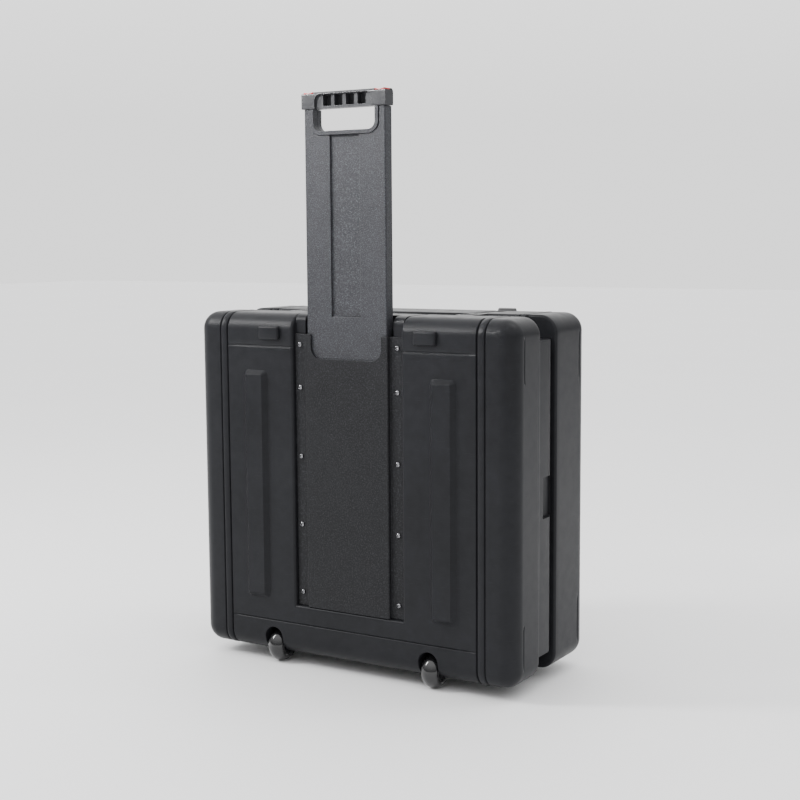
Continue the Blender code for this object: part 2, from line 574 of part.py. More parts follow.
def make_front_shell():
    shell = box("front_shell", span(HALF), (PARTING + GAP, FRONT_FACE), (BOTTOM, TOP), "shell_plastic",
                corners=(1, CORNER, 5), rims=[(1, FRONT_FACE, EDGE, 5), (1, PARTING + GAP, 0.004, 2)])
    cut(shell, lid_cavity())
    for _, side in SIDES:
        cut(shell,
            box("latch_trough", around(side * LATCH_X, TROUGH_HALF), (PARTING - 0.01, FRONT_FACE + 0.01),
                (TROUGH_FLOOR, TOP + 0.01)),
            cylinder("pin_seat", (LATCH_PIVOT_Y, LATCH_PIVOT_Z), LATCH_BORE,
                     *around(side * LATCH_X, TROUGH_HALF + 0.003), 0, segments=12),
            box("foot_seat", around(side * FOOT_X, FOOT_HALF + GAP), around(FOOT_Y, FOOT_HALF_DEEP + GAP),
                (BOTTOM - 0.01, BOTTOM + 0.002)))
    return smooth(shell)


def make_front_feet():
    for label, side in SIDES:
        box(f"front_foot_{label}", around(side * FOOT_X, FOOT_HALF), around(FOOT_Y, FOOT_HALF_DEEP),
            (0.0, BOTTOM + 0.002 - GAP), "soft_rubber", corners=(2, 0.004, 2))


# ---------------------------------------------------------------- hinges, latches and carry handle
def hinge_barrel(name, middle, half, radius, finish=None):
    return cylinder(name, (HINGE_Y, HINGE_Z), radius, *around(middle, half), 0, finish,
                    segments=12 if radius < KNUCKLE else 16)


def make_hinges():
    """Butt hinges in the bottom channel: one leaf on its floor, the other on the lid's bumper."""
    knuckle_half = HINGE_HALF / 3
    leaf_top = HINGE_Z - KNUCKLE - 0.0008
    for label, side in SIDES:
        middle = side * HINGE_X
        fixed = box(f"hinge_fixed_leaf_{label}", around(middle, HINGE_HALF),
                    (HINGE_Y - LEAF_LONG, HINGE_Y + 0.001), (NECK_BOTTOM - LEAF - GAP, NECK_BOTTOM - GAP),
                    "bright_steel")
        join(fixed, hinge_barrel("fixed_barrel", middle, HINGE_HALF, KNUCKLE))
        cut(fixed,
            box("middle_gap", around(middle, knuckle_half + GAP), around(HINGE_Y, 0.006),
                around(HINGE_Z, 0.006)),
            hinge_barrel("fixed_bore", middle, HINGE_HALF + 0.005, HINGE_BORE))
        moving = box(f"hinge_moving_leaf_{label}", around(middle, HINGE_HALF), (PARTING - LEAF, PARTING),
                     (BOTTOM + 0.006, leaf_top), "bright_steel")
        join(moving,
             box("leaf_tab", around(middle, knuckle_half - GAP), (PARTING - LEAF, PARTING),
                 (leaf_top - 0.002, HINGE_Z)),
             hinge_barrel("moving_barrel", middle, knuckle_half - GAP, KNUCKLE))
        cut(moving, hinge_barrel("moving_bore", middle, HINGE_HALF, HINGE_BORE))
        hinge_barrel(f"hinge_pin_{label}", middle, HINGE_HALF, HINGE_PIN, "bright_steel")


def latch_round(name, middle, half, radius, finish=None):
    return cylinder(name, (LATCH_PIVOT_Y, LATCH_PIVOT_Z), radius, *around(middle, half), 0, finish,
                    segments=12 if radius < LATCH_KNUCKLE else 20)


def make_latches():
    """A long lever on the lid whose nose drops behind a keeper on the rear shell."""
    nose_front = LATCH_NOSE + LATCH_NOSE_THICK
    top, foot = TOP - 0.0005, TOP - 0.0005 - LATCH_DROP
    under = top - LATCH_THICK
    keeper = (nose_front + KEEPER_GAP, nose_front + KEEPER_GAP + KEEPER_DEEP)
    for label, side in SIDES:
        middle = side * LATCH_X
        outline = [(LATCH_NOSE, foot), (nose_front, foot), (nose_front, under), (LATCH_PIVOT_Y, under),
                   (LATCH_PIVOT_Y, top), (LATCH_NOSE, top)]
        lever = prism(f"latch_{label}", outline, 0, *around(middle, LATCH_HALF), "black_plastic")
        join(lever, latch_round("latch_knuckle", middle, LATCH_HALF, LATCH_KNUCKLE))
        cut(lever, latch_round("latch_bore", middle, LATCH_HALF + 0.005, LATCH_BORE))
        latch_round(f"latch_pin_{label}", middle, TROUGH_HALF + 0.0025, LATCH_PIN, "bright_steel")
        box(f"latch_keeper_{label}", around(middle, LATCH_HALF), keeper,
            (BRIDGE_TOP + GAP, under - KEEPER_UNDER), "bright_steel", corners=(0, 0.001, 1))


def carry_pivot(name, side, near, far, radius, finish=None):
    return cylinder(name, (CARRY_Y, CARRY_Z), radius, *side_span(side, near, far), 0, finish, segments=12)


def make_carry_handle():
    """A U-shaped handle on two pinned blocks; it folds flat into the top channel."""
    bar_y = CARRY_Y + CARRY_LEG
    leg_near = CARRY_HALF - CARRY_LEG_WIDE
    handle = box("carry_handle", span(CARRY_HALF), around(bar_y, CARRY_BAR), around(CARRY_Z, CARRY_BAR),
                 "black_plastic", corners=(0, 0.004, 3))
    for label, side in SIDES:
        join(handle, box("handle_leg", side_span(side, leg_near, CARRY_HALF), (CARRY_Y - 0.006, bar_y),
                         around(CARRY_Z, 0.006)))
        cut(handle, carry_pivot("pivot_bore", side, leg_near - 0.01, CARRY_HALF + 0.01, CARRY_BORE))
        mount = box(f"carry_mount_{label}", side_span(side, MOUNT_NEAR, MOUNT_FAR),
                    around(CARRY_Y, MOUNT_RADIUS), (NECK_TOP + GAP, CARRY_Z + MOUNT_RADIUS), "black_plastic",
                    corners=(0, 0.003, 2))
        cut(mount, carry_pivot("pivot_seat", side, CARRY_HALF - 0.005, MOUNT_FAR - 0.004, CARRY_BORE))
        carry_pivot(f"carry_pin_{label}", side, leg_near + 0.001, MOUNT_FAR - 0.0045, CARRY_PIN,
                    "bright_steel")


# ---------------------------------------------------------------- foam
def pocket(name, x, z, half):
    """A pocket right through the middle layer; half is half its width and half its height."""
    return box(name, around(x, half[0]), (FOAM_BACK + FOAM_FLOOR - 0.01, PARTING + 0.02), around(z, half[1]))


def make_foam():
    """A sheet in the back of the rear shell, a die-cut layer on it, and a pad in the lid."""
    wide = span(RIM_HALF - FOAM_GAP)
    tall = (NECK_BOTTOM + RIM_INSET + FOAM_GAP, NECK_TOP - RIM_INSET - FOAM_GAP)
    middle = (BOTTOM + TOP) / 2
    box("foam_base", wide, (FOAM_BACK, FOAM_BACK + FOAM_FLOOR - GAP), tall, "foam")
    insert = box("foam_insert", wide, (FOAM_BACK + FOAM_FLOOR, PARTING - 0.001), tall, "foam")
    cut(insert,
        pocket("body_pocket", 0.0, middle, BODY_POCKET),
        pocket("cross_pocket", 0.0, middle, CROSS_POCKET))
    for _, side in SIDES:
        cut(insert, pocket("arm_pocket", side * ARM_X, middle, ARM_POCKET))
        for row in (-1, 0, 1):
            height = middle + row * BATTERY_PITCH
            cut(insert, pocket("battery_pocket", side * BATTERY_X, height, BATTERY_POCKET))
    box("foam_lid", wide, (FRONT_FACE - WALL - FOAM_LID, FRONT_FACE - WALL - FOAM_LID_GAP), tall, "foam")


make_rear_shell()
seal_ring("rim_seal", GAP, PARTING, "soft_rubber")
make_rear_feet()
make_cover()
make_cover_screws()
make_guides()
make_plate()
make_hole_frame()
make_grip()
make_release()
make_wheels()
make_front_shell()
make_front_feet()
make_hinges()
make_latches()
make_carry_handle()
make_foam()
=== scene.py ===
"""Looks for the drone carrying case: detailed shells, handle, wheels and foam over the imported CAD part.

Metres, +Z up. The trolley side faces -Y, the lid +Y, X = 0 is the middle of the width and Z = 0 the ground.
"""

import math

import bmesh
import bpy
import numpy as np
from mathutils import Matrix, Vector


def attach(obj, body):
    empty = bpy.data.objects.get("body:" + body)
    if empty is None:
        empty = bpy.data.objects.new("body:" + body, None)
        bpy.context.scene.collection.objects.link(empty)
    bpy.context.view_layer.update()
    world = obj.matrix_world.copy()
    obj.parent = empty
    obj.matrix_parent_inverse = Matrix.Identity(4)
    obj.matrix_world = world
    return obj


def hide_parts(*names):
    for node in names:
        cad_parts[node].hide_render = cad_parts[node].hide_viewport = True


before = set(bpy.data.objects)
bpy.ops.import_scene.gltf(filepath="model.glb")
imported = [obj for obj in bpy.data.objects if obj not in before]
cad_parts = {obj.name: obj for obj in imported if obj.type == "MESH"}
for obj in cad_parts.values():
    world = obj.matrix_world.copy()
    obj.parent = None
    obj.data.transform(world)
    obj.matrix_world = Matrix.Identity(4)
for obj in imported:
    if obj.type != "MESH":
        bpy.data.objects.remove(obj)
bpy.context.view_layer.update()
RANDOM = np.random.default_rng(7)

# ---------------------------------------------------------------- dimensions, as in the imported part
HALF, BOTTOM, TOP = 0.280, 0.017, 0.547
BACK_FACE, FRONT_FACE = -0.119, 0.124
CHANNEL, PARTING, SLOPE_START = -0.036, 0.014, -0.007
NECK_HALF, NECK_BOTTOM, NECK_TOP = 0.271, 0.051, 0.513
RIM_HALF, RIM_INSET, WALL, GAP = 0.260, 0.010, 0.0045, 0.0003
RADIUS = 0.027
RECESS_HALF, RECESS_BOTTOM, RECESS_FLOOR = 0.096, TOP - 0.449, BACK_FACE + 0.010
SLOT_HALF, SLOT_BOTTOM, SLOT_FLOOR = 0.078, RECESS_BOTTOM + 0.004, BACK_FACE + 0.034
COVER_HALF, COVER_FLANGE, COVER_SKIN, COVER_TOP = 0.0735, 0.0955, 0.003, TOP - 0.030
NOTCH_HALF, NOTCH_BOTTOM, NOTCH_ROUND = 0.062, TOP - 0.0665, 0.018
SCREW_X = 0.0863
SCREW_HEIGHTS = [TOP - 0.046] + [TOP - 0.111 - 0.1055 * i for i in range(4)]
PLATE_HALF, PLATE_BACK, PLATE_MID, PLATE_BOTTOM = 0.0705, -0.1155, -0.106, 0.433
GRIP_TOP, GRIP_HALF, GRIP_BACK, GRIP_THICK, GRIP_HEIGHT = 0.873, 0.073, -0.1185, 0.0215, 0.0245
PLATE_TOP = GRIP_TOP - GRIP_HEIGHT - GAP
HOLE_HALF, HOLE_FLOOR, HOLE_ROUND, FRAME_BORDER = 0.0535, GRIP_TOP - 0.057, 0.012, 0.0058
WHEEL_X, WHEEL_Y, WHEEL_RADIUS, WHEEL_HALF, HUB_RADIUS = 0.139, -0.098, 0.026, 0.014, 0.015
ARCH_HALF, ARCH_TOP, ARCH_DEPTH = 0.0165, BOTTOM + 0.041, 0.056
LATCH_X, LATCH_HALF, LATCH_PIVOT_Y, LATCH_PIVOT_Z, LATCH_KNUCKLE = 0.150, 0.0135, 0.111, 0.544, 0.0065
TROUGH_HALF, TROUGH_FLOOR, BRIDGE_HALF, BRIDGE_TOP = 0.0145, TOP - 0.011, 0.026, TOP - 0.012
CARRY_Y, CARRY_Z, CARRY_LEG, CARRY_HALF = -0.024, 0.523, 0.028, 0.074
FOAM_BACK, FOAM_GAP = -0.077, 0.002
FOAM_LOW, FOAM_HIGH = NECK_BOTTOM + RIM_INSET + FOAM_GAP, NECK_TOP - RIM_INSET - FOAM_GAP
MIDDLE_Z = (BOTTOM + TOP) / 2
SIDES = (("left", -1), ("right", 1))

# ---------------------------------------------------------------- dimensions of the visual pieces' own detail
CLEAR, THROUGH = 0.01, 0.03  # how far a cutter reaches past a surface, and to each side of the plate's middle
PANEL_HALF, PANEL_FOOT, PANEL_DEEP, PANEL_BORDER = 0.0255, TOP - 0.003, 0.0034, 0.0012
SCOOP_HALF, SCOOP_ROUND, SCOOP_DEEP = 0.050, 0.010, 0.0042
POCKETS, POCKET_PITCH, POCKET_HALF, POCKET_DEEP, POCKET_BORDER = 4, 0.0200, 0.0070, 0.015, 0.0040
BUTTON_X, BUTTON_HALF, WELL_HALF = 0.062, 0.0082, 0.0085
LOW_END, LOW_END_DEEP, LOW_END_DROP = (0.0520, 0.0740), 0.0160, 0.0024
DISH_RADIUS, DISH_RISE = 0.022, 0.0205
BLOCK_NEAR, BLOCK_FAR, BLOCK_LOW, BLOCK_HIGH = 0.119, 0.156, TOP - 0.040, TOP - 0.019
BLOCK_PROUD, BLOCK_SUNK, BLOCK_SLOPE = 0.0066, 0.0022, 0.0036
FOOT_X, FOOT_Y, FOOT_HALF, FOOT_DEEP, TREAD_PITCH = 0.190, FRONT_FACE - 0.048, 0.020, 0.012, 0.007
LID_PANEL, LID_PANEL_ROUND = (0.165, 0.150), 0.014  # half its width and half its height
LID_RIB_X, LID_RIB, LID_RIB_ROUND = 0.110, (0.014, 0.120), 0.006
SEAL_OUTER, SEAL_INNER = (0.2685, 0.0025), (0.2635, 0.0075)  # half across X, and inset from the neck in Z
GRID_STEP = 0.012  # the widest mesh of a shell's grid


# ---------------------------------------------------------------- materials
def node(tree, kind, inputs=None, **settings):
    made = tree.nodes.new(kind)
    for key, value in settings.items():
        setattr(made, key, value)
    for key, value in (inputs or {}).items():
        if isinstance(value, bpy.types.NodeSocket):
            tree.links.new(value, made.inputs[key])
        else:
            made.inputs[key].default_value = value
    return made


def noise(tree, place, scale, detail=3.0, rough=0.5, stretch=None):
    """A noise pattern in metres of the object, from 0 to 1."""
    if stretch:
        place = node(tree, "ShaderNodeMapping", {"Vector": place, "Scale": stretch}).outputs["Vector"]
    made = node(tree, "ShaderNodeTexNoise",
                {"Vector": place, "Scale": scale, "Detail": detail, "Roughness": rough})
    return made.outputs["Fac"]


def remap(tree, value, low, high, to_low, to_high):
    made = node(tree, "ShaderNodeMapRange", {"Value": value, "From Min": low, "From Max": high,
                                             "To Min": to_low, "To Max": to_high})
    return made.outputs["Result"]


def times(tree, a, b):
    return node(tree, "ShaderNodeMath", {0: a, 1: b}, operation="MULTIPLY").outputs["Value"]


def plus(tree, a, b):
    return node(tree, "ShaderNodeMath", {0: a, 1: b}, operation="ADD").outputs["Value"]


def mix_colour(tree, factor, a, b):
    made = node(tree, "ShaderNodeMix", data_type="RGBA")
    for index, value in ((0, factor), (6, a), (7, b)):
        if isinstance(value, bpy.types.NodeSocket):
            tree.links.new(value, made.inputs[index])
        else:
            made.inputs[index].default_value = value
    return made.outputs[2]


def surface(name, dark, light, rough, variation=(6.0, 60.0), grain=(900.0, 0.25, 0.0003), speckle=None,
            rough_spread=0.10, metal=0.0, specular=0.5, edge=0.0008, scratches=0.0, coat=0.0, cells=None):
    """A finish whose colour, roughness and relief all vary over the piece.

    variation holds two noise scales of the colour, grain is the relief's (scale, strength, depth in metres),
    speckle is (scale, brightness) of light flecks, cells is the scale of an open-celled relief, scratches is
    how much rougher the fine upright lines are, and edge is the radius that softens edges."""
    material = bpy.data.materials.new(name)
    material.use_nodes = True
    tree = material.node_tree
    shader = tree.nodes["Principled BSDF"]
    place = node(tree, "ShaderNodeTexCoord").outputs["Object"]
    broad = noise(tree, place, variation[0], 4.0, 0.6)
    small = noise(tree, place, variation[1], 3.0, 0.6)
    blend = plus(tree, times(tree, broad, 0.6), times(tree, small, 0.4))
    colour = mix_colour(tree, remap(tree, blend, 0.35, 0.65, 0.0, 1.0), (*dark, 1.0), (*light, 1.0))
    if speckle:
        flecks = noise(tree, place, speckle[0], 2.0, 0.7)
        bright = tuple(min(1.0, value * speckle[1]) for value in light)
        colour = mix_colour(tree, remap(tree, flecks, 0.50, 0.72, 0.0, 1.0), colour, (*bright, 1.0))
    roughness = plus(tree, remap(tree, small, 0.3, 0.7, rough - rough_spread / 2, rough + rough_spread / 2),
                     remap(tree, broad, 0.3, 0.7, -rough_spread / 4, rough_spread / 4))
    if scratches:
        lines = noise(tree, place, 60.0, 2.0, 0.6, stretch=(1.0, 1.0, 14.0))
        mark = remap(tree, lines, 0.62, 0.70, 0.0, 1.0)
        roughness = plus(tree, roughness, times(tree, mark, scratches))
        pale = tuple(min(1.0, value * 1.8) for value in light)
        colour = mix_colour(tree, times(tree, mark, 0.25), colour, (*pale, 1.0))
    soft = node(tree, "ShaderNodeBevel", {"Radius": edge}, samples=4).outputs["Normal"]
    relief = noise(tree, place, grain[0], 3.0, 0.55)
    if cells:
        pores = node(tree, "ShaderNodeTexVoronoi", {"Vector": place, "Scale": cells}).outputs["Distance"]
        relief = plus(tree, times(tree, relief, 0.5), pores)
    bump = node(tree, "ShaderNodeBump",
                {"Strength": grain[1], "Distance": grain[2], "Height": relief, "Normal": soft})
    tree.links.new(colour, shader.inputs["Base Color"])
    tree.links.new(roughness, shader.inputs["Roughness"])
    tree.links.new(bump.outputs["Normal"], shader.inputs["Normal"])
    shader.inputs["Metallic"].default_value = metal
    shader.inputs["Specular IOR Level"].default_value = specular
    shader.inputs["Coat Weight"].default_value = coat
    shader.inputs["Coat Roughness"].default_value = 0.08
    return material


MOULDED = surface("moulded_charcoal", (0.0104, 0.0107, 0.0122), (0.0158, 0.0163, 0.0186), 0.36,
                  grain=(1400.0, 0.30, 0.00012), scratches=0.10, edge=0.0008, specular=0.11)
COVER = surface("cover_charcoal", (0.0092, 0.0094, 0.0104), (0.0130, 0.0133, 0.0148), 0.44,
                grain=(520.0, 0.50, 0.00035), speckle=(520.0, 2.4), edge=0.0008, specular=0.14)
PEBBLED = surface("pebbled_charcoal", (0.0170, 0.0175, 0.0200), (0.0262, 0.0270, 0.0310), 0.44,
                  grain=(560.0, 0.95, 0.00060), speckle=(700.0, 3.0), edge=0.0008, specular=0.25)
GLOSSY = surface("black_fittings", (0.0080, 0.0080, 0.0090), (0.0150, 0.0150, 0.0165), 0.32,
                 grain=(1200.0, 0.15, 0.0001), edge=0.0006)
GRIP_FINISH = surface("grip_charcoal", (0.0200, 0.0205, 0.0230), (0.0330, 0.0338, 0.0375), 0.34,
                      grain=(900.0, 0.35, 0.0002), edge=0.0006, specular=0.45)
RED = surface("red_buttons", (0.42, 0.016, 0.020), (0.60, 0.035, 0.035), 0.34, grain=(1200.0, 0.2, 0.0001))
TYRE = surface("tyre_black", (0.0050, 0.0050, 0.0055), (0.0110, 0.0110, 0.0120), 0.16, rough_spread=0.10,
               grain=(700.0, 0.12, 0.0001), scratches=0.12, coat=0.3, edge=0.0006)
RUBBER = surface("foot_rubber", (0.0100, 0.0100, 0.0100), (0.0200, 0.0200, 0.0200), 0.75,
                 grain=(1100.0, 0.4, 0.0002), edge=0.0006)
STEEL = surface("plated_steel", (0.42, 0.42, 0.44), (0.66, 0.66, 0.68), 0.24, metal=1.0,
                variation=(30.0, 300.0), grain=(2000.0, 0.10, 0.00005), scratches=0.10, edge=0.0003)
DARK_STEEL = surface("dark_steel", (0.17, 0.17, 0.18), (0.27, 0.27, 0.28), 0.15, metal=1.0,
                     variation=(60.0, 500.0), grain=(2500.0, 0.15, 0.00005), rough_spread=0.06, edge=0.0003)
FOAM = surface("case_foam", (0.0160, 0.0160, 0.0180), (0.0330, 0.0330, 0.0360), 0.92, specular=0.15,
               grain=(900.0, 0.8, 0.0006), cells=900.0, edge=0.0020)
FINISHES = {"shell_plastic": MOULDED, "grained_plastic": PEBBLED, "black_plastic": GLOSSY,
            "red_plastic": RED, "wheel_rubber": TYRE, "soft_rubber": RUBBER, "bright_steel": STEEL,
            "foam": FOAM}


# ---------------------------------------------------------------- mesh helpers
def from_bmesh(name, bm, material):
    bmesh.ops.recalc_face_normals(bm, faces=bm.faces)
    return from_mesh(name, to_mesh(name, bm), material)


def to_mesh(name, bm):
    mesh = bpy.data.meshes.new(name)
    bm.to_mesh(mesh)
    bm.free()
    return mesh


def from_points(name, points, faces, material, tidy=False):
    """A piece from lists of points and faces; tidy joins the points that lie in one place."""
    mesh = bpy.data.meshes.new(name)
    mesh.from_pydata(points, [], faces)
    bm = bmesh.new()
    bm.from_mesh(mesh)
    bpy.data.meshes.remove(mesh)
    if tidy:
        bmesh.ops.remove_doubles(bm, verts=bm.verts, dist=2e-6)
        bmesh.ops.dissolve_degenerate(bm, edges=bm.edges, dist=1e-6)
    return from_bmesh(name, bm, material)


def from_mesh(name, mesh, material, sharp=40):
    obj = bpy.data.objects.new(name, mesh)
    bpy.context.scene.collection.objects.link(obj)
    mesh.materials.clear()
    mesh.materials.append(material)
    mesh.shade_smooth()
    mesh.set_sharp_from_angle(angle=math.radians(sharp))
    return obj


def stands_for(obj, body, nodes):
    """The piece rides on a body and takes the place of these CAD nodes."""
    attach(obj, body)
    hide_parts(*nodes)


def span(half):
    return (-half, half)


def around(centre, half):
    return (centre - half, centre + half)


def side_span(side, low, high):
    return tuple(sorted((side * low, side * high)))


def along_y(a, b):
    """An edge that runs through a cutter's depth."""
    return abs(a.y - b.y) > 0.005


def add_box(bm, x, y, z, bevel=0.0, segments=3, pick=None):
    """Adds a box to a bmesh; bevel rounds all its edges, or those that pick accepts."""
    made = bmesh.ops.create_cube(bm, size=1.0)["verts"]
    for vert in made:
        vert.co = Vector(low + (high - low) * (t + 0.5) for (low, high), t in zip((x, y, z), vert.co))
    if bevel:
        edges = {edge for vert in made for edge in vert.link_edges}
        if pick:
            edges = {edge for edge in edges if pick(edge.verts[0].co, edge.verts[1].co)}
        bmesh.ops.bevel(bm, geom=list(edges), offset=bevel, segments=segments, profile=0.5, affect="EDGES",
                        clamp_overlap=False)


def box(name, material, x, y, z, bevel=0.0, segments=3, pick=None):
    bm = bmesh.new()
    add_box(bm, x, y, z, bevel, segments, pick)
    return from_bmesh(name, bm, material)


def add_prism(bm, outline, axis, low, high):
    """Adds an outline extruded along an axis; its points are the other two coordinates, in order."""
    def place(point):
        coords = list(point)
        coords.insert(axis, low)
        return coords
    face = bm.faces.new([bm.verts.new(place(point)) for point in outline])
    grown = bmesh.ops.extrude_face_region(bm, geom=[face])["geom"]
    shift = Vector((0.0, 0.0, 0.0))
    shift[axis] = high - low
    moved = [item for item in grown if isinstance(item, bmesh.types.BMVert)]
    bmesh.ops.translate(bm, vec=shift, verts=moved)


def prism(name, material, outline, axis, low, high):
    bm = bmesh.new()
    add_prism(bm, outline, axis, low, high)
    return from_bmesh(name, bm, material)


def arc(centre, radius, start, end, steps):
    angles = [math.radians(start + (end - start) * i / steps) for i in range(steps + 1)]
    return [(centre[0] + radius * math.cos(a), centre[1] + radius * math.sin(a)) for a in angles]


def circle(centre, radius, steps):
    return arc(centre, radius, 0, 360, steps)[:-1]


def rounded(points, radii, steps):
    """An outline with each corner rounded by its own radius."""
    made = []
    count = len(points)
    for i, (point, radius) in enumerate(zip(points, radii)):
        p, before, after = (Vector(points[(i + k) % count]) for k in (0, -1, 1))
        if radius <= 0:
            made.append(tuple(point))
            continue
        a, b = (before - p).normalized(), (after - p).normalized()
        half = a.angle(b) / 2
        reach = radius / math.tan(half)
        centre = p + (a + b).normalized() * (radius / math.sin(half))
        start, end = p + a * reach - centre, p + b * reach - centre
        for k in range(steps + 1):
            made.append(tuple(centre + start.normalized().slerp(end.normalized(), k / steps) * radius))
    return made


def u_outline(half, floor, rounding, top, steps=12):
    """A U with rounded lower corners, open at the top."""
    corner, low = half - rounding, floor + rounding
    return [(-half, top), *arc((-corner, low), rounding, 180, 270, steps),
            *arc((corner, low), rounding, 270, 360, steps), (half, top)]


def combine(obj, operation, cutters):
    """Applies an exact Boolean with each cutter and throws the cutters away."""
    for cutter in cutters:
        modifier = obj.modifiers.new(cutter.name, "BOOLEAN")
        modifier.operation = operation
        modifier.solver = "EXACT"
        modifier.object = cutter
    return bake(obj, cutters)


def bake(obj, remove=()):
    """Applies every modifier."""
    bpy.context.view_layer.update()
    graph = bpy.context.evaluated_depsgraph_get()
    mesh = bpy.data.meshes.new_from_object(obj.evaluated_get(graph))
    obj.modifiers.clear()
    old = obj.data
    obj.data = mesh
    bpy.data.meshes.remove(old)
    for other in remove:
        bpy.data.objects.remove(other, do_unlink=True)
    return obj


def soften(obj, width, segments=2, angle=50):
    """Rounds the edges sharper than the angle."""
    modifier = obj.modifiers.new("soften", "BEVEL")
    modifier.width = width
    modifier.segments = segments
    modifier.limit_method = "ANGLE"
    modifier.angle_limit = math.radians(angle)
    modifier.harden_normals = False
    bake(obj)
    even_shading(obj)


def even_shading(obj):
    """Lets the large faces set the normals, so that flat areas shade flat beside rounded edges."""
    obj.data.shade_smooth()
    obj.data.set_sharp_from_angle(angle=math.radians(40))
    modifier = obj.modifiers.new("normals", "WEIGHTED_NORMAL")
    modifier.keep_sharp = True
    modifier.weight = 100
    bake(obj)


def merge(name, *objects):
    """Makes one piece from several meshes."""
    bm = bmesh.new()
    material = objects[0].data.materials[0]
    for obj in objects:
        bm.from_mesh(obj.data)
    mesh = to_mesh(name, bm)
    for obj in objects:
        bpy.data.objects.remove(obj, do_unlink=True)
    return from_mesh(name, mesh, material)


def lathe(name, material, profile, centre, steps):
    """A closed (along, radius) profile turned about X through centre."""
    angles = np.linspace(0.0, 2 * math.pi, steps, endpoint=False)
    points = np.array([[(along, radius * math.cos(a), radius * math.sin(a)) for a in angles]
                       for along, radius in profile])
    points += np.array(centre)
    count = len(profile)
    faces = []
    for i in range(count):
        j = (i + 1) % count
        for k in range(steps):
            m = (k + 1) % steps
            faces.append((i * steps + k, i * steps + m, j * steps + m, j * steps + k))
    return from_points(name, points.reshape(-1, 3).tolist(), faces, material)


# ---------------------------------------------------------------- moulded shells, as fine grids
def lines(low, high, clusters):
    """Grid lines from low to high, no further apart than GRID_STEP, and a cluster at each feature."""
    count = int(math.ceil((high - low) / GRID_STEP)) + 1
    values = set(np.round(np.linspace(low, high, count), 6))
    for centre, offsets in clusters:
        values |= {round(centre + offset, 6) for offset in offsets if low < centre + offset < high}
    return np.array(sorted(values))


# extra grid lines over the side creases, as depths behind a shell's outer face
CREASE_LINES = [0.0278, 0.0285, 0.0292, 0.0298, 0.0304, 0.0310, 0.0317, 0.0324, 0.0330]


def mirrored(clusters):
    return [(side * centre, [side * offset for offset in offsets])
            for centre, offsets in clusters for side in (-1, 1)]


def grid_faces(index):
    """The four-sided faces of a grid of point numbers."""
    corners = [index[:-1, :-1], index[1:, :-1], index[1:, 1:], index[:-1, 1:]]
    return np.stack(corners, -1).reshape(-1, 4)


def moulded_shell(name, face, direction, depth, rim, xs, zs, detail):
    """A bumper with a rounded outer face at y = face, running along direction for depth to a flat wall.

    xs and zs are the grid lines of its flat part. detail moves the points, given their normals."""
    nx, nz = len(xs), len(zs)
    base, out = [], []
    arc_steps, round_steps, rim_steps, wall_lines = 12, 14, 6, 9
    x_low, x_high, z_low, z_high = xs[0], xs[-1], zs[0], zs[-1]

    def corner(x, z, start):
        for k in range(1, arc_steps):
            angle = math.radians(start - 90 * k / arc_steps)
            base.append((x, z))
            out.append((math.cos(angle), math.sin(angle)))

    base += [(x, z_high) for x in xs]
    out += [(0, 1)] * nx
    corner(x_high, z_high, 90)
    base += [(x_high, z) for z in zs[::-1]]
    out += [(1, 0)] * nz
    corner(x_high, z_low, 0)
    base += [(x, z_low) for x in xs[::-1]]
    out += [(0, -1)] * nx
    corner(x_low, z_low, -90)
    base += [(x_low, z) for z in zs]
    out += [(-1, 0)] * nz
    corner(x_low, z_high, 180)
    base, out = np.array(base), np.array(out, float)
    stations = []
    for i in range(round_steps + 1):
        turn = math.pi / 2 * i / round_steps
        stations.append((RADIUS * math.sin(turn), RADIUS * (1 - math.cos(turn)),
                         math.sin(turn), -math.cos(turn)))
    for along in sorted([*np.linspace(RADIUS, depth - rim, wall_lines)[1:-1], *CREASE_LINES]):
        stations.append((RADIUS, along, 1.0, 0.0))
    for i in range(rim_steps + 1):
        turn = math.pi / 2 * i / rim_steps
        stations.append((RADIUS - rim * (1 - math.cos(turn)), depth - rim * (1 - math.sin(turn)),
                         math.cos(turn), math.sin(turn)))
    for share in (0.5, 0.0):
        stations.append(((RADIUS - rim) * share, depth, 0.0, 1.0))
    points, normals, faces = [], [], []

    def put(p_x, p_z, along, n_x, n_y, n_z):
        points.append(np.stack([p_x, face + direction * along * np.ones_like(p_x), p_z], 1))
        normals.append(np.stack([n_x, direction * n_y, n_z], 1))

    grid_x, grid_z = (g.ravel() for g in np.meshgrid(xs, zs, indexing="ij"))
    zero, one = np.zeros(nx * nz), np.ones(nx * nz)
    put(grid_x, grid_z, 0.0, zero, -one, zero)
    put(grid_x, grid_z, depth, zero, one, zero)
    for start in (0, nx * nz):
        faces.append(grid_faces(start + np.arange(nx * nz).reshape(nx, nz)))
    start, ring = 2 * nx * nz, len(base)
    for rho, along, share, lean in stations:
        put(base[:, 0] + out[:, 0] * rho, base[:, 1] + out[:, 1] * rho, along,
            out[:, 0] * share, np.full(ring, lean), out[:, 1] * share)
    index = start + np.arange(len(stations) * ring).reshape(len(stations), ring)
    after = np.roll(index, -1, axis=1)
    faces.append(np.stack([index[:-1], after[:-1], after[1:], index[1:]], -1).reshape(-1, 4))
    points, normals = np.concatenate(points), np.concatenate(normals)
    points = detail(points, normals)
    return from_points(name, points.tolist(), np.concatenate(faces).tolist(), MOULDED, tidy=True)


def ease(t):
    t = np.clip(t, 0.0, 1.0)
    return t * t * (3 - 2 * t)


def valley(distance, half):
    """1 in the middle of a groove, falling smoothly to 0 at half its width."""
    return 1.0 - ease(np.abs(distance) / half)


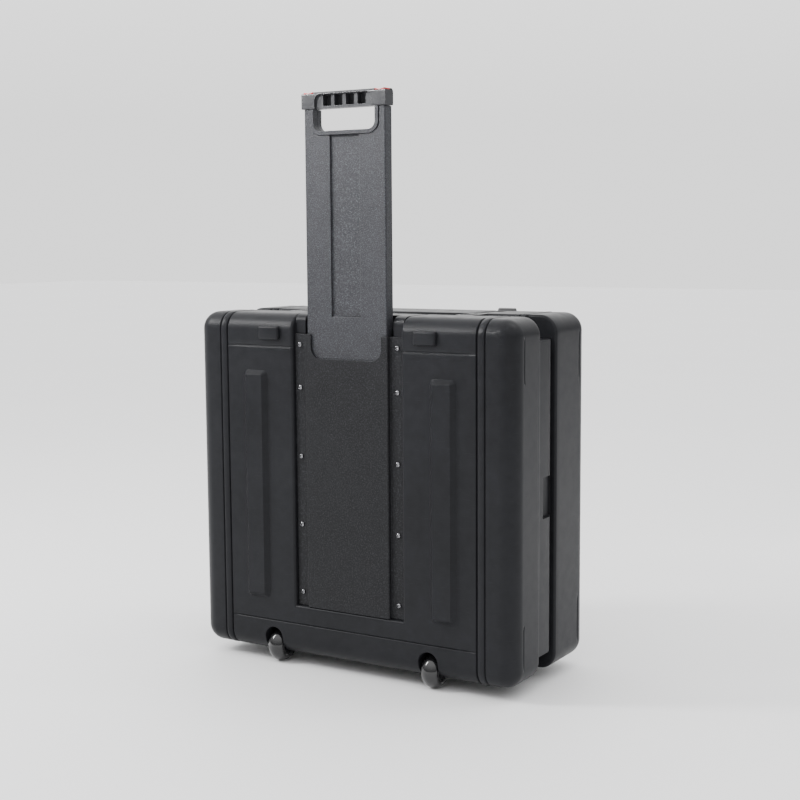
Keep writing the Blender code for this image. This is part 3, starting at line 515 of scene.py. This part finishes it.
def inside_rectangle(a, b, centre, half, rounding):
    """Signed distance to a rounded rectangle, negative inside."""
    qa = np.abs(a - centre[0]) - (half[0] - rounding)
    qb = np.abs(b - centre[1]) - (half[1] - rounding)
    return np.hypot(np.maximum(qa, 0), np.maximum(qb, 0)) + np.minimum(np.maximum(qa, qb), 0) - rounding


GROOVES = ((0.2200, 0.0019, 0.0034), (0.2330, 0.0017, 0.0024))  # across X: centre, half width and depth
LEDGES, LEDGE_END = (TOP - 0.050, TOP - 0.478), 0.2185  # heights of the lines across, and where they stop
CREASE_DEPTH, CREASE_END = 0.0300, 0.062  # behind the outer face, and from the top and bottom
RIB_NEAR, RIB_FAR, RIB_FOOT, RIB_TOP = 0.1475, 0.184, BOTTOM + 0.090, TOP - 0.091
RIB_X, RIB_Z = (RIB_NEAR + RIB_FAR) / 2, (RIB_FOOT + RIB_TOP) / 2
RIB_HALF = ((RIB_FAR - RIB_NEAR) / 2, (RIB_TOP - RIB_FOOT) / 2)
RIB_HEIGHT, RIB_SLOPE = 0.0068, 0.0070  # it stands this far out, and its sides are this wide
ROLL = 0.0045  # how the back rolls in at the recess


def long_grooves(x, normals):
    """The paired grooves that wrap over the top and bottom, with a slight ridge between them."""
    across = np.abs(x)
    depth = sum(deep * valley(across - centre, half) for centre, half, deep in GROOVES)
    depth -= 0.0005 * ease((across - 0.2215) / 0.002) * ease((0.2318 - across) / 0.002)
    return depth * (np.abs(normals[:, 0]) < 0.5)


def side_creases(points, normals, y_line, flare):
    """Short creases near the corners of a side face, each ending in a curl."""
    _, y, z = points.T
    end = np.minimum(np.abs(z - (TOP - CREASE_END)), np.abs(z - (BOTTOM + CREASE_END)))
    run = ease((0.031 - end) / 0.004)
    curl = flare * ease((end - 0.022) / 0.010) * 0.0015
    on_side = np.abs(normals[:, 0]) > 0.9
    return on_side * (0.0020 * valley(y - y_line - curl, 0.0016) * run)


def rear_detail(points, normals):
    x, _, z = points.T
    across = np.abs(x)
    facing_back = np.clip(-normals[:, 1], 0, 1) * (np.abs(normals[:, 0]) < 0.5)
    depth = long_grooves(x, normals)
    between = ease((LEDGE_END - across) / 0.002)
    top_ledge, low_ledge = LEDGES
    depth += 0.0016 * valley(z - top_ledge, 0.0024) * between * (across > RECESS_HALF) * facing_back
    depth += 0.0019 * valley(z - low_ledge, 0.0016) * between * facing_back
    rib = inside_rectangle(across, z, (RIB_X, RIB_Z), RIB_HALF, 0.005)
    depth -= RIB_HEIGHT * np.clip(0.5 - rib / RIB_SLOPE, 0.0, 1.0) * facing_back
    past = np.hypot(np.maximum(across - RECESS_HALF, 0), np.maximum(RECESS_BOTTOM - z, 0))
    t = np.clip(ROLL - past, 0, ROLL)
    rolls = (past < ROLL) * (past > 0) * (normals[:, 2] > -0.1)
    rolls = rolls * (np.abs(normals[:, 0]) < 0.5) * (normals[:, 1] < 0.1)
    depth += (ROLL - np.sqrt(np.maximum(ROLL ** 2 - t ** 2, 0))) * rolls
    depth += side_creases(points, normals, BACK_FACE + CREASE_DEPTH, 1.0)
    moved = points - normals * depth[:, None]
    y = moved[:, 1]
    in_recess = (across < RECESS_HALF - 1e-6) & (z > RECESS_BOTTOM + 1e-6) & (normals[:, 1] < 0.5)
    in_slot = (across < SLOT_HALF - 1e-6) & (z > SLOT_BOTTOM + 1e-6) & (normals[:, 1] < 0.5)
    reach = 0.007
    near = np.maximum(reach - np.abs(y - RECESS_FLOOR), 0) / reach
    y = np.where(in_recess, np.maximum(y, RECESS_FLOOR) + near ** 2 * reach / 4, y)
    y = np.where(in_slot, np.maximum(y, SLOT_FLOOR), y)
    moved[:, 1] = y
    return moved


def front_detail(points, normals):
    x, y, z = points.T
    across = np.abs(x)
    depth = long_grooves(x, normals)
    facing = np.clip(normals[:, 1], 0, 1) * (y > FRONT_FACE - RADIUS)
    between = ease((LEDGE_END - across) / 0.002)
    for height in LEDGES:
        depth += 0.0011 * valley(z - height, 0.0026) * between * facing
    panel = inside_rectangle(across, z, (0.0, MIDDLE_Z), LID_PANEL, LID_PANEL_ROUND)
    depth += 0.0016 * ease(0.5 - panel / 0.0030) * facing
    for middle in (-LID_RIB_X, LID_RIB_X):
        rib = inside_rectangle(x, z, (middle, MIDDLE_Z), LID_RIB, LID_RIB_ROUND)
        depth -= 0.0014 * ease(0.5 - rib / 0.0022) * facing
    depth += side_creases(points, normals, FRONT_FACE - CREASE_DEPTH, -1.0)
    return points - normals * depth[:, None]


# clusters of grid lines, as offsets from the middle or edge of a feature
GROOVE_OFFSETS = [-0.0021, -0.0015, -0.0011, -0.0007, -0.00035, 0.0, 0.00035, 0.0007, 0.0011, 0.0015,
                  0.0021]
LEDGE_OFFSETS = [-0.0026, -0.0018, -0.0012, -0.0006, 0.0, 0.0006, 0.0012, 0.0018, 0.0026]
WALL_OFFSETS = [-0.0014, -0.0009, -0.0004, 0.0, 0.0004, 0.0009, 0.0014]
RIB_OFFSETS = [-0.0052, -0.0044, -0.0037, -0.0035, -0.0033, -0.0022, -0.0011, 0.0, 0.0011, 0.0022,
               0.0033, 0.0035, 0.0037]
ROUND_OFFSETS = [-0.0060, -0.0050, -0.0040, -0.0030, -0.0022]
ROLL_OFFSETS = [-0.00005, 0.00004, 0.0003, 0.0007, 0.0012, 0.0018, 0.0025, 0.0035, 0.0045]


def wheel_arch(side):
    """The slot with a round top that holds a wheel."""
    middle, round_z = side * WHEEL_X, ARCH_TOP - ARCH_HALF
    outline = [(middle + ARCH_HALF, BOTTOM - CLEAR), *arc((middle, round_z), ARCH_HALF, 0, 180, 20),
               (middle - ARCH_HALF, BOTTOM - CLEAR)]
    return prism("wheel_arch", MOULDED, outline, 1, BACK_FACE - CLEAR, BACK_FACE + ARCH_DEPTH)


def neck_block():
    """The narrower part of the rear shell, between its bumper and the parting, with sloped sides."""
    edge, root = HALF - 0.00005, CHANNEL - 0.008
    bm = bmesh.new()
    outline = [(-edge, root), (-edge, SLOPE_START), (-NECK_HALF, PARTING - GAP),
               (NECK_HALF, PARTING - GAP), (edge, SLOPE_START), (edge, root)]
    add_prism(bm, rounded(outline, [0, 0.006, 0.0015, 0.0015, 0.006, 0], 5), 2, NECK_BOTTOM, NECK_TOP)

    def at_end(line):
        a, b = (vert.co for vert in line.verts)
        high = min(a.z, b.z) > NECK_TOP - 1e-5
        low = max(a.z, b.z) < NECK_BOTTOM + 1e-5
        return min(abs(a.x), abs(b.x)) > NECK_HALF - 0.004 and (high or low) and a.x * b.x > 0

    bmesh.ops.bevel(bm, geom=[e for e in bm.edges if at_end(e)], offset=0.009, segments=6, profile=0.5,
                    affect="EDGES", clamp_overlap=True)
    return from_bmesh("neck", bm, MOULDED)


def make_rear_shell():
    flat_x, low_z, high_z = HALF - RADIUS, BOTTOM + RADIUS, TOP - RADIUS
    xs = lines(-flat_x, flat_x, mirrored(
        [(centre, GROOVE_OFFSETS) for centre, _, _ in GROOVES]
        + [(RIB_NEAR, [-o for o in RIB_OFFSETS]), (RIB_FAR, RIB_OFFSETS)]
        + [(RECESS_HALF, ROLL_OFFSETS), (SLOT_HALF, [-0.00005, 0.00004])]))
    zs = lines(low_z, high_z, [(height, LEDGE_OFFSETS) for height in LEDGES] + [
        (RIB_FOOT, [-o for o in RIB_OFFSETS]), (RIB_TOP, RIB_OFFSETS),
        (RECESS_BOTTOM, [-o for o in ROLL_OFFSETS]), (SLOT_BOTTOM, [-0.00004, 0.00005])])
    bumper = moulded_shell("rear_bumper", BACK_FACE, 1, CHANNEL - BACK_FACE, 0.006, xs, zs, rear_detail)
    inside_z = (NECK_BOTTOM + RIM_INSET, NECK_TOP - RIM_INSET)
    cavity = [box("cavity", MOULDED, span(RIM_HALF), (FOAM_BACK - 0.0005, CHANNEL + CLEAR), inside_z),
              *(wheel_arch(side) for _, side in SIDES)]
    combine(bumper, "DIFFERENCE", cavity)
    neck = neck_block()
    cuts = [box("mouth", MOULDED, span(RIM_HALF), (CHANNEL - 2 * CLEAR, PARTING + 2 * CLEAR), inside_z)]
    for _, side in SIDES:
        cuts.append(box("side_pocket", MOULDED, side_span(side, HALF - 0.009, HALF + 0.010),
                        (BACK_FACE + 0.090, BACK_FACE + 0.126), (TOP - 0.293, TOP - 0.232), 0.0015, 2))
    combine(neck, "DIFFERENCE", cuts)
    (outer, outset), (inner, inset) = SEAL_OUTER, SEAL_INNER
    groove = box("groove", MOULDED, span(outer), (PARTING - 0.0038, PARTING + CLEAR),
                 (NECK_BOTTOM + outset, NECK_TOP - outset))
    island = box("island", MOULDED, span(inner), (PARTING - 2 * CLEAR, PARTING + 2 * CLEAR),
                 (NECK_BOTTOM + inset, NECK_TOP - inset))
    combine(groove, "DIFFERENCE", [island])
    combine(neck, "DIFFERENCE", [groove])
    bridges = [box("bridge", MOULDED, around(side * LATCH_X, BRIDGE_HALF), (CHANNEL - 0.008, PARTING - GAP),
                   (NECK_TOP - 0.003, BRIDGE_TOP), 0.0025, 3) for _, side in SIDES]
    stands_for(merge("rear_shell_body", bumper, neck, *bridges), "rear", ["rear_shell"])


def make_front_shell():
    flat_x, low_z, high_z = HALF - RADIUS, BOTTOM + RADIUS, TOP - RADIUS
    ribs = [(LID_RIB_X + s * LID_RIB[0], WALL_OFFSETS) for s in (-1, 1)]
    xs = lines(-flat_x, flat_x, mirrored([(centre, GROOVE_OFFSETS) for centre, _, _ in GROOVES]
                                         + [(LID_PANEL[0], WALL_OFFSETS + ROUND_OFFSETS)] + ribs))
    ends = [(MIDDLE_Z + s * half, WALL_OFFSETS + [s * o for o in ROUND_OFFSETS])
            for s in (-1, 1) for half in (LID_PANEL[1], LID_RIB[1])]
    zs = lines(low_z, high_z, [(height, LEDGE_OFFSETS) for height in LEDGES] + ends)
    shell = moulded_shell("front_shell_body", FRONT_FACE, -1, FRONT_FACE - PARTING - GAP, 0.004,
                          xs, zs, front_detail)
    cuts = [box("cavity", MOULDED, span(RIM_HALF + FOAM_GAP), (PARTING - CLEAR, FRONT_FACE - WALL),
                (NECK_BOTTOM + RIM_INSET, NECK_TOP - RIM_INSET))]
    for _, side in SIDES:
        cuts.append(box("trough", MOULDED, around(side * LATCH_X, TROUGH_HALF),
                        (PARTING - CLEAR, FRONT_FACE + CLEAR), (TROUGH_FLOOR, TOP + CLEAR)))
    combine(shell, "DIFFERENCE", cuts)
    stands_for(shell, "lid", ["front_shell"])


# ---------------------------------------------------------------- handle cover and screws
def make_cover():
    """A hat section: the raised middle is flush with the back, and a flange each side takes the screws."""
    seat, inner = RECESS_FLOOR - GAP, COVER_HALF - 0.0023
    low, skin = seat - COVER_SKIN, BACK_FACE + COVER_SKIN
    outline = [(-COVER_FLANGE, seat), (-COVER_FLANGE, low), (-COVER_HALF, low), (-COVER_HALF, BACK_FACE),
               (COVER_HALF, BACK_FACE), (COVER_HALF, low), (COVER_FLANGE, low), (COVER_FLANGE, seat),
               (inner, seat), (inner, skin), (-inner, skin), (-inner, seat)]
    radii = [0, 0.0008, 0.0012, 0.0022, 0.0022, 0.0012, 0.0008, 0, 0, 0.0005, 0.0005, 0]
    cover = prism("cover_body", COVER, rounded(outline, radii, 5), 2, RECESS_BOTTOM + 0.0005, COVER_TOP)
    notch = prism("notch", COVER, u_outline(NOTCH_HALF, NOTCH_BOTTOM, NOTCH_ROUND, COVER_TOP + CLEAR, 16),
                  1, BACK_FACE - CLEAR, skin + 0.0015)
    combine(cover, "DIFFERENCE", [notch])
    soften(cover, 0.0011, 3)
    gate = lathe("gate", COVER, [(-0.001, 0.0001), (-0.001, 0.0030), (0.0004, 0.0026), (0.0005, 0.0001)],
                 (0.0, 0.0, 0.0), 24)
    spot = Matrix.Translation((0.0, BACK_FACE, RECESS_BOTTOM + 0.200))
    gate.data.transform(spot @ Matrix.Rotation(-math.pi / 2, 4, "Z"))
    stands_for(merge("handle_cover_body", cover, gate), "rear", ["handle_cover"])


def screw_head():
    """A pan head with a cross recess, its axis along Y, its seat at the origin and facing -Y."""
    dome = [(0.0, 0.0001), (0.0, 0.0040), (-0.0005, 0.0040), (-0.0014, 0.0036), (-0.0021, 0.0028),
            (-0.0025, 0.0017), (-0.0026, 0.0001)]
    head = lathe("screw_head", DARK_STEEL, dome, (0.0, 0.0, 0.0), 32)
    head.data.transform(Matrix.Rotation(math.pi / 2, 4, "Z"))
    long, narrow = 0.0047, 0.0014
    slots = [box("slot", DARK_STEEL, span(w / 2), (-0.004, -0.0008), span(h / 2))
             for w, h in ((long, narrow), (narrow, long))]
    combine(head, "DIFFERENCE", slots)
    return head


def make_screws():
    head = screw_head()
    seat = RECESS_FLOOR - 2 * GAP - COVER_SKIN
    number = 0
    for _, side in SIDES:
        for height in SCREW_HEIGHTS:
            number += 1
            mesh = head.data.copy()
            turn = Matrix.Rotation(RANDOM.uniform(0, math.pi / 2), 4, "Y")
            mesh.transform(Matrix.Translation((side * SCREW_X, seat, height)) @ turn)
            screw = from_mesh(f"cover_screw_head_{number:02d}", mesh, DARK_STEEL, 30)
            stands_for(screw, "rear", [f"cover_screw_{number:02d}"])
    bpy.data.objects.remove(head, do_unlink=True)


# ---------------------------------------------------------------- trolley handle
def make_plate():
    def along_z(a, b):
        return abs(a.z - b.z) > 0.1
    plate = box("plate", PEBBLED, span(PLATE_HALF), around(PLATE_MID, 0.0095),
                (PLATE_BOTTOM, PLATE_TOP), 0.0022, 4, along_z)
    floor = HOLE_FLOOR - FRAME_BORDER - GAP
    seat = prism("seat", PEBBLED, u_outline(HOLE_HALF + FRAME_BORDER + GAP, floor,
                                            HOLE_ROUND + FRAME_BORDER, PLATE_TOP + CLEAR),
                 1, *around(PLATE_MID, THROUGH))
    panel = box("panel", PEBBLED, span(PANEL_HALF), (PLATE_BACK - CLEAR, PLATE_BACK + PANEL_DEEP),
                (PANEL_FOOT, floor - PANEL_BORDER), 0.0010, 2, along_y)
    combine(plate, "DIFFERENCE", [seat, panel])
    soften(plate, 0.0007, 2)
    stands_for(plate, "handle", ["handle_plate"])


def make_hole_frame():
    """The U-shaped liner of the hand hole, proud of the plate on both faces."""
    def u_block(name, border, top, half_depth):
        outline = u_outline(HOLE_HALF + border, HOLE_FLOOR - border, HOLE_ROUND + border, top, 16)
        return prism(name, PEBBLED, outline, 1, *around(PLATE_MID, half_depth))

    liner = u_block("hand_hole_liner", FRAME_BORDER, PLATE_TOP, 0.0110)
    hole = u_block("hole", 0.0, PLATE_TOP + CLEAR, THROUGH)
    parting = u_block("parting", 0.0004, PLATE_TOP + 2 * CLEAR, 0.0004)
    combine(liner, "DIFFERENCE", [hole, parting])
    soften(liner, 0.0014, 3)
    stands_for(liner, "handle", ["hand_hole_frame"])


def make_grip():
    low = GRIP_TOP - GRIP_HEIGHT
    section = rounded([(GRIP_BACK, low), (GRIP_BACK, GRIP_TOP), (GRIP_BACK + GRIP_THICK, GRIP_TOP),
                       (GRIP_BACK + GRIP_THICK, low)], [0.0022, 0.0045, 0.0060, 0.0030], 6)
    grip = prism("grip", GRIP_FINISH, section, 0, *span(GRIP_HALF))
    foot, crown = low - 0.004, GRIP_TOP - 0.0035
    scoop = rounded([(-SCOOP_HALF, foot), (-SCOOP_HALF, crown), (SCOOP_HALF, crown), (SCOOP_HALF, foot)],
                    [0, SCOOP_ROUND, SCOOP_ROUND, 0], 6)
    cuts = [prism("scoop", GLOSSY, scoop, 1, GRIP_BACK - CLEAR, GRIP_BACK + SCOOP_DEEP)]
    for i in range(POCKETS):
        middle = (i - (POCKETS - 1) / 2) * POCKET_PITCH
        cuts.append(box("pocket", GLOSSY, around(middle, POCKET_HALF),
                        (GRIP_BACK - CLEAR, GRIP_BACK + POCKET_DEEP),
                        (low + POCKET_BORDER, GRIP_TOP - POCKET_BORDER), 0.0012, 2, along_y))
    for _, side in SIDES:
        cuts.append(box("well", GLOSSY, around(side * BUTTON_X, WELL_HALF),
                        (GRIP_BACK + 0.0010, PLATE_MID + 0.0063), (GRIP_TOP - 0.012, GRIP_TOP + CLEAR)))
        cuts.append(box("low_end", GLOSSY, side_span(side, *LOW_END),
                        (GRIP_BACK - CLEAR, GRIP_BACK + LOW_END_DEEP),
                        (GRIP_TOP - LOW_END_DROP, GRIP_TOP + CLEAR)))
    combine(grip, "DIFFERENCE", cuts)
    soften(grip, 0.0009, 3)
    stands_for(grip, "handle", ["handle_grip"])


def make_buttons():
    for label, side in SIDES:
        button = box("button", RED, around(side * BUTTON_X, BUTTON_HALF),
                     (GRIP_BACK + 0.0013, PLATE_MID + 0.0060),
                     (GRIP_TOP - 0.006, GRIP_TOP), 0.0014, 3, lambda a, b: abs(a.z - b.z) > 0.003)
        dish = prism("dish", RED, circle((side * BUTTON_X, GRIP_TOP + DISH_RISE), DISH_RADIUS, 71), 1,
                     *around(PLATE_MID, 2 * CLEAR))
        combine(button, "DIFFERENCE", [dish])
        soften(button, 0.0005, 2, 40)
        button.name = f"thumb_button_{label}"
        stands_for(button, f"button_{label}", [f"release_button_{label}"])


# ---------------------------------------------------------------- wheels and feet
def make_wheels():
    for label, side in SIDES:
        centre = (side * WHEEL_X, WHEEL_Y, WHEEL_RADIUS)
        crown = []
        for i in range(25):
            along = WHEEL_HALF * (1 - i / 12)
            radius = WHEEL_RADIUS - 0.007 * (along / WHEEL_HALF) ** 2
            if abs(along) > WHEEL_HALF * 0.93:
                radius -= 0.0006
            crown.append((along, radius))
        inner = WHEEL_HALF - 0.0008
        face = [(-WHEEL_HALF, 0.0172), (-inner, 0.0160), (-inner, HUB_RADIUS + GAP),
                (inner, HUB_RADIUS + GAP), (inner, 0.0160), (WHEEL_HALF, 0.0172)]
        tyre = lathe(f"wheel_tread_{label}", TYRE, crown + face, centre, 72)
        stands_for(tyre, f"wheel_{label}", [f"wheel_tyre_{label}"])
        rim = [(WHEEL_HALF - 0.0030, 0.0125), (WHEEL_HALF - 0.0006, 0.0132), (WHEEL_HALF - 0.0004, 0.0142),
               (WHEEL_HALF - 0.0012, HUB_RADIUS)]
        boss = [(WHEEL_HALF - 0.0004, 0.0038), (WHEEL_HALF - 0.0004, 0.0066), (WHEEL_HALF - 0.0030, 0.0070)]
        profile = rim + [(-a, r) for a, r in rim[::-1] + boss[::-1]] + boss
        hub = lathe("hub", GLOSSY, profile, centre, 48)
        for i in range(5):
            web = box("web", GLOSSY, around(0.0, WHEEL_HALF - 0.0016), (0.0060, 0.0135), span(0.0011),
                      0.0004, 2)
            web.data.transform(Matrix.Translation(centre) @ Matrix.Rotation(2 * math.pi * i / 5, 4, "X"))
            hub = merge("hub", hub, web)
        hub.name = f"wheel_rim_{label}"
        stands_for(hub, f"wheel_{label}", [f"wheel_hub_{label}"])


def make_feet():
    for label, side in SIDES:
        block = box(f"back_block_{label}", MOULDED, side_span(side, BLOCK_NEAR, BLOCK_FAR),
                    (BACK_FACE - BLOCK_PROUD, BACK_FACE + BLOCK_SUNK), (BLOCK_LOW, BLOCK_HIGH),
                    BLOCK_SLOPE, 4)
        stands_for(block, "rear", [f"rear_foot_{label}"])
        foot = box("foot", RUBBER, around(side * FOOT_X, FOOT_HALF), around(FOOT_Y, FOOT_DEEP),
                   (0.0, BOTTOM + 0.0017), 0.0016, 3)
        cuts = [box("tread", RUBBER, around(side * FOOT_X + (i - 2) * TREAD_PITCH, 0.0009),
                    around(FOOT_Y, 0.02), (-0.001, 0.0012)) for i in range(5)]
        combine(foot, "DIFFERENCE", cuts)
        foot.name = f"rubber_foot_{label}"
        stands_for(foot, "lid", [f"front_foot_{label}"])


# ---------------------------------------------------------------- latches and carry handle
def make_latches():
    nose_back, nose_front, under = PARTING - 0.047, PARTING - 0.0405, TOP - 0.0068
    top = TOP - 0.0005
    for label, side in SIDES:
        middle = side * LATCH_X
        section = rounded([(nose_back, TOP - 0.0105), (nose_front, TOP - 0.0105), (nose_front, under),
                           (LATCH_PIVOT_Y, under), (LATCH_PIVOT_Y, top), (nose_back, top)],
                          [0.0015, 0.0012, 0.0010, 0, 0, 0.0040], 4)
        lever = prism("lever", GLOSSY, section, 0, *around(middle, LATCH_HALF))
        knuckle = prism("knuckle", GLOSSY, circle((LATCH_PIVOT_Y, LATCH_PIVOT_Z), LATCH_KNUCKLE, 48), 0,
                        *around(middle, LATCH_HALF))
        combine(lever, "UNION", [knuckle])
        cuts = [prism("bore", GLOSSY, circle((LATCH_PIVOT_Y, LATCH_PIVOT_Z), 0.0023, 24), 0,
                      *around(middle, LATCH_HALF + 0.005)),
                box("thumb_dish", GLOSSY, around(middle, 0.0095), (nose_back + 0.048, nose_back + 0.128),
                    (top - 0.0012, top + CLEAR), 0.0010, 2)]
        combine(lever, "DIFFERENCE", cuts)
        soften(lever, 0.0008, 2, 45)
        ridges = [box("ridge", GLOSSY, around(middle, 0.0085), around(nose_back + 0.010 + i * 0.0042, 0.0009),
                      (top - 0.001, top + 0.0007), 0.0004, 2) for i in range(6)]
        stands_for(merge(f"latch_lever_{label}", lever, *ridges), f"latch_{label}", [f"latch_{label}"])


def make_carry_handle():
    """A moulded U-shaped handle, thicker in the middle of its bar, on two pinned legs."""
    bar_y = CARRY_Y + CARRY_LEG
    steps, ring = 48, 20
    points, faces = [], []
    for i in range(steps + 1):
        t = -1 + 2 * i / steps
        x = CARRY_HALF * t
        swell = 0.0060 + 0.0014 * (1 - abs(t) ** 3)
        if 0.1 < abs(t) < 0.72:
            swell -= 0.00045 * (0.5 - 0.5 * math.cos(2 * math.pi * x / 0.0095))
        for k in range(ring):
            angle = 2 * math.pi * k / ring
            c, s = math.cos(angle), math.sin(angle)
            shape = 1 / (abs(c) ** 3 + abs(s) ** 3) ** (1 / 3)
            points.append((x, bar_y + swell * shape * c, CARRY_Z + swell * shape * s))
    for i in range(steps):
        for k in range(ring):
            m = (k + 1) % ring
            faces.append((i * ring + k, i * ring + m, (i + 1) * ring + m, (i + 1) * ring + k))
    faces += [tuple(range(ring))[::-1], tuple(range(steps * ring, (steps + 1) * ring))]
    parts = [from_points("bar", points, faces, GLOSSY)]
    for _, side in SIDES:
        leg = box("leg", GLOSSY, side_span(side, CARRY_HALF - 0.011, CARRY_HALF - 0.0001),
                  (CARRY_Y - 0.0058, bar_y), around(CARRY_Z, 0.0058), 0.0022, 3)
        bore = prism("bore", GLOSSY, circle((CARRY_Y, CARRY_Z), 0.0033, 24), 0,
                     *side_span(side, CARRY_HALF - 2 * CLEAR, CARRY_HALF + CLEAR))
        parts.append(combine(leg, "DIFFERENCE", [bore]))
    stands_for(merge("carry_grip", *parts), "carry_handle", ["carry_handle"])


# ---------------------------------------------------------------- foam
def make_foam():
    wide = RIM_HALF - FOAM_GAP
    back, face = FOAM_BACK + 0.030, PARTING - 0.001

    def cutter(x, z, rounding=0.006):
        return box("cutter", FOAM, x, (back - CLEAR, face + 2 * CLEAR), z, rounding, 4, along_y)

    insert = box("foam_layer", FOAM, span(wide), (back, face), (FOAM_LOW, FOAM_HIGH))
    cuts = [cutter(span(0.060), around(MIDDLE_Z, 0.150)), cutter(span(0.150), around(MIDDLE_Z, 0.035))]
    for _, side in SIDES:
        cuts.append(cutter(around(side * 0.130, 0.028), around(MIDDLE_Z, 0.190), 0.010))
        for rise in (-0.120, 0.0, 0.120):
            cuts.append(cutter(around(side * 0.212, 0.028), around(MIDDLE_Z + rise, 0.045)))
    combine(insert, "DIFFERENCE", cuts)
    soften(insert, 0.0020, 3)
    stands_for(insert, "rear", ["foam_insert"])
    sheet = box("foam_back_sheet", FOAM, span(wide), (FOAM_BACK, back - GAP), (FOAM_LOW, FOAM_HIGH),
                0.002, 3)
    stands_for(sheet, "rear", ["foam_base"])
    make_lid_foam(wide)


def make_lid_foam(wide):
    """Convoluted foam: a sheet whose face rises in rows of soft peaks."""
    face, back = FRONT_FACE - WALL - 0.045, FRONT_FACE - WALL - 0.003
    pitch, swing = 0.030, 0.0075
    nx, nz = 175, 149
    xs, zs = np.linspace(-wide, wide, nx), np.linspace(FOAM_LOW, FOAM_HIGH, nz)
    grid_x, grid_z = np.meshgrid(xs, zs, indexing="ij")
    wave = np.cos(2 * math.pi * grid_x / pitch) * np.cos(2 * math.pi * (grid_z - MIDDLE_Z) / pitch)
    rows = swing * (1 - wave)
    border = np.minimum(wide - np.abs(grid_x), np.minimum(grid_z - FOAM_LOW, FOAM_HIGH - grid_z))
    rows += 0.003 * (1 - ease(border / 0.004))
    front = np.stack([grid_x, face + rows, grid_z], -1).reshape(-1, 3)
    index = np.arange(nx * nz).reshape(nx, nz)
    quads = grid_faces(index)
    rim = np.concatenate([index[:, 0], index[-1, 1:], index[-2::-1, -1], index[0, -2:0:-1]])
    after = np.roll(rim, -1)
    low = nx * nz + np.arange(len(rim))
    skirt = np.stack([rim, low, np.roll(low, -1), after], -1)
    rear = front[rim] * (1, 0, 1) + (0, back, 0)
    faces = quads[:, ::-1].tolist() + skirt.tolist() + [low.tolist()]
    pad = from_points("foam_lid_pad", np.concatenate([front, rear]).tolist(), faces, FOAM)
    stands_for(pad, "lid", ["foam_lid"])


# ---------------------------------------------------------------- CAD nodes that stay as they are
def paint_cad_nodes():
    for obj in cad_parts.values():
        finish = FINISHES[obj.data.materials[0].name.split(".")[0]]
        obj.data.materials.clear()
        obj.data.materials.append(finish)
        if not obj.hide_render:
            weld = obj.modifiers.new("weld", "WELD")
            weld.merge_threshold = 1e-6


# ---------------------------------------------------------------- floor, light and camera
def area_light(name, place, target, size, power, spread=180.0):
    data = bpy.data.lights.new(name, "AREA")
    data.spread = math.radians(spread)
    data.shape = "RECTANGLE"
    data.size, data.size_y = size
    data.energy = power
    lamp = bpy.data.objects.new(name, data)
    bpy.context.scene.collection.objects.link(lamp)
    lamp.location = place
    lamp.rotation_mode = "QUATERNION"
    lamp.rotation_quaternion = (Vector(target) - Vector(place)).to_track_quat("-Z", "Y")


def make_studio():
    material = bpy.data.materials.new("pale_floor")
    material.use_nodes = True
    tree = material.node_tree
    place = node(tree, "ShaderNodeTexCoord").outputs["Object"]
    tone = mix_colour(tree, noise(tree, place, 1.5, 3.0), (0.86, 0.86, 0.87, 1.0), (0.90, 0.90, 0.90, 1.0))
    shader = tree.nodes["Principled BSDF"]
    tree.links.new(tone, shader.inputs["Base Color"])
    shader.inputs["Roughness"].default_value = 0.6
    floor = box("floor", material, span(15.0), span(15.0), (-0.05, -0.0002))
    world = bpy.data.worlds.new("studio")
    bpy.context.scene.world = world
    world.use_nodes = True
    sky = world.node_tree
    background = sky.nodes["Background"]
    background.inputs["Color"].default_value = (1.0, 1.0, 1.0, 1.0)
    # dim all round, bright behind the case as the camera sees it, and brighter overhead to light the floor
    way = node(sky, "ShaderNodeTexCoord").outputs["Generated"]
    toward = node(sky, "ShaderNodeVectorMath", {0: way, 1: (-0.518, 0.855, 0.0)}, operation="DOT_PRODUCT")
    height = node(sky, "ShaderNodeSeparateXYZ", {0: way}).outputs["Z"]
    low = remap(sky, toward.outputs["Value"], 0.70, 0.95, 0.36, 1.58)
    sky.links.new(plus(sky, low, remap(sky, height, 0.08, 0.75, 0.0, 1.9)), background.inputs["Strength"])
    area_light("key_left", (-1.8, -1.2, 1.8), (0.0, 0.0, 0.42), (0.4, 0.9), 54.0)
    area_light("rim_right", (0.9, 0.5, 2.3), (0.0, 0.0, 0.30), (0.25, 1.2), 8.0)
    area_light("handle_light", (-1.0, -1.6, 1.7), (-0.02, -0.11, 0.83), (0.3, 0.3), 1.1, 24.0)


def make_camera():
    data = bpy.data.cameras.new("camera")
    data.lens = 64.505  # fitted to the photo, as are the place and the directions below
    data.sensor_width = 36.0
    data.clip_end = 100.0
    camera = bpy.data.objects.new("camera", data)
    bpy.context.scene.collection.objects.link(camera)
    right, up = Vector((0.85289, 0.52204, -0.00681)), Vector((-0.05349, 0.10036, 0.99351))
    forward = Vector((-0.51934, 0.84700, -0.11352))
    turn = Matrix((right, up, -forward)).transposed()
    camera.matrix_world = Matrix.Translation((1.17166, -1.87606, 0.66227)) @ turn.to_4x4()
    bpy.context.scene.camera = camera


make_rear_shell()
make_front_shell()
make_cover()
make_screws()
make_plate()
make_hole_frame()
make_grip()
make_buttons()
make_wheels()
make_feet()
make_latches()
make_carry_handle()
make_foam()
paint_cad_nodes()
make_studio()
make_camera()
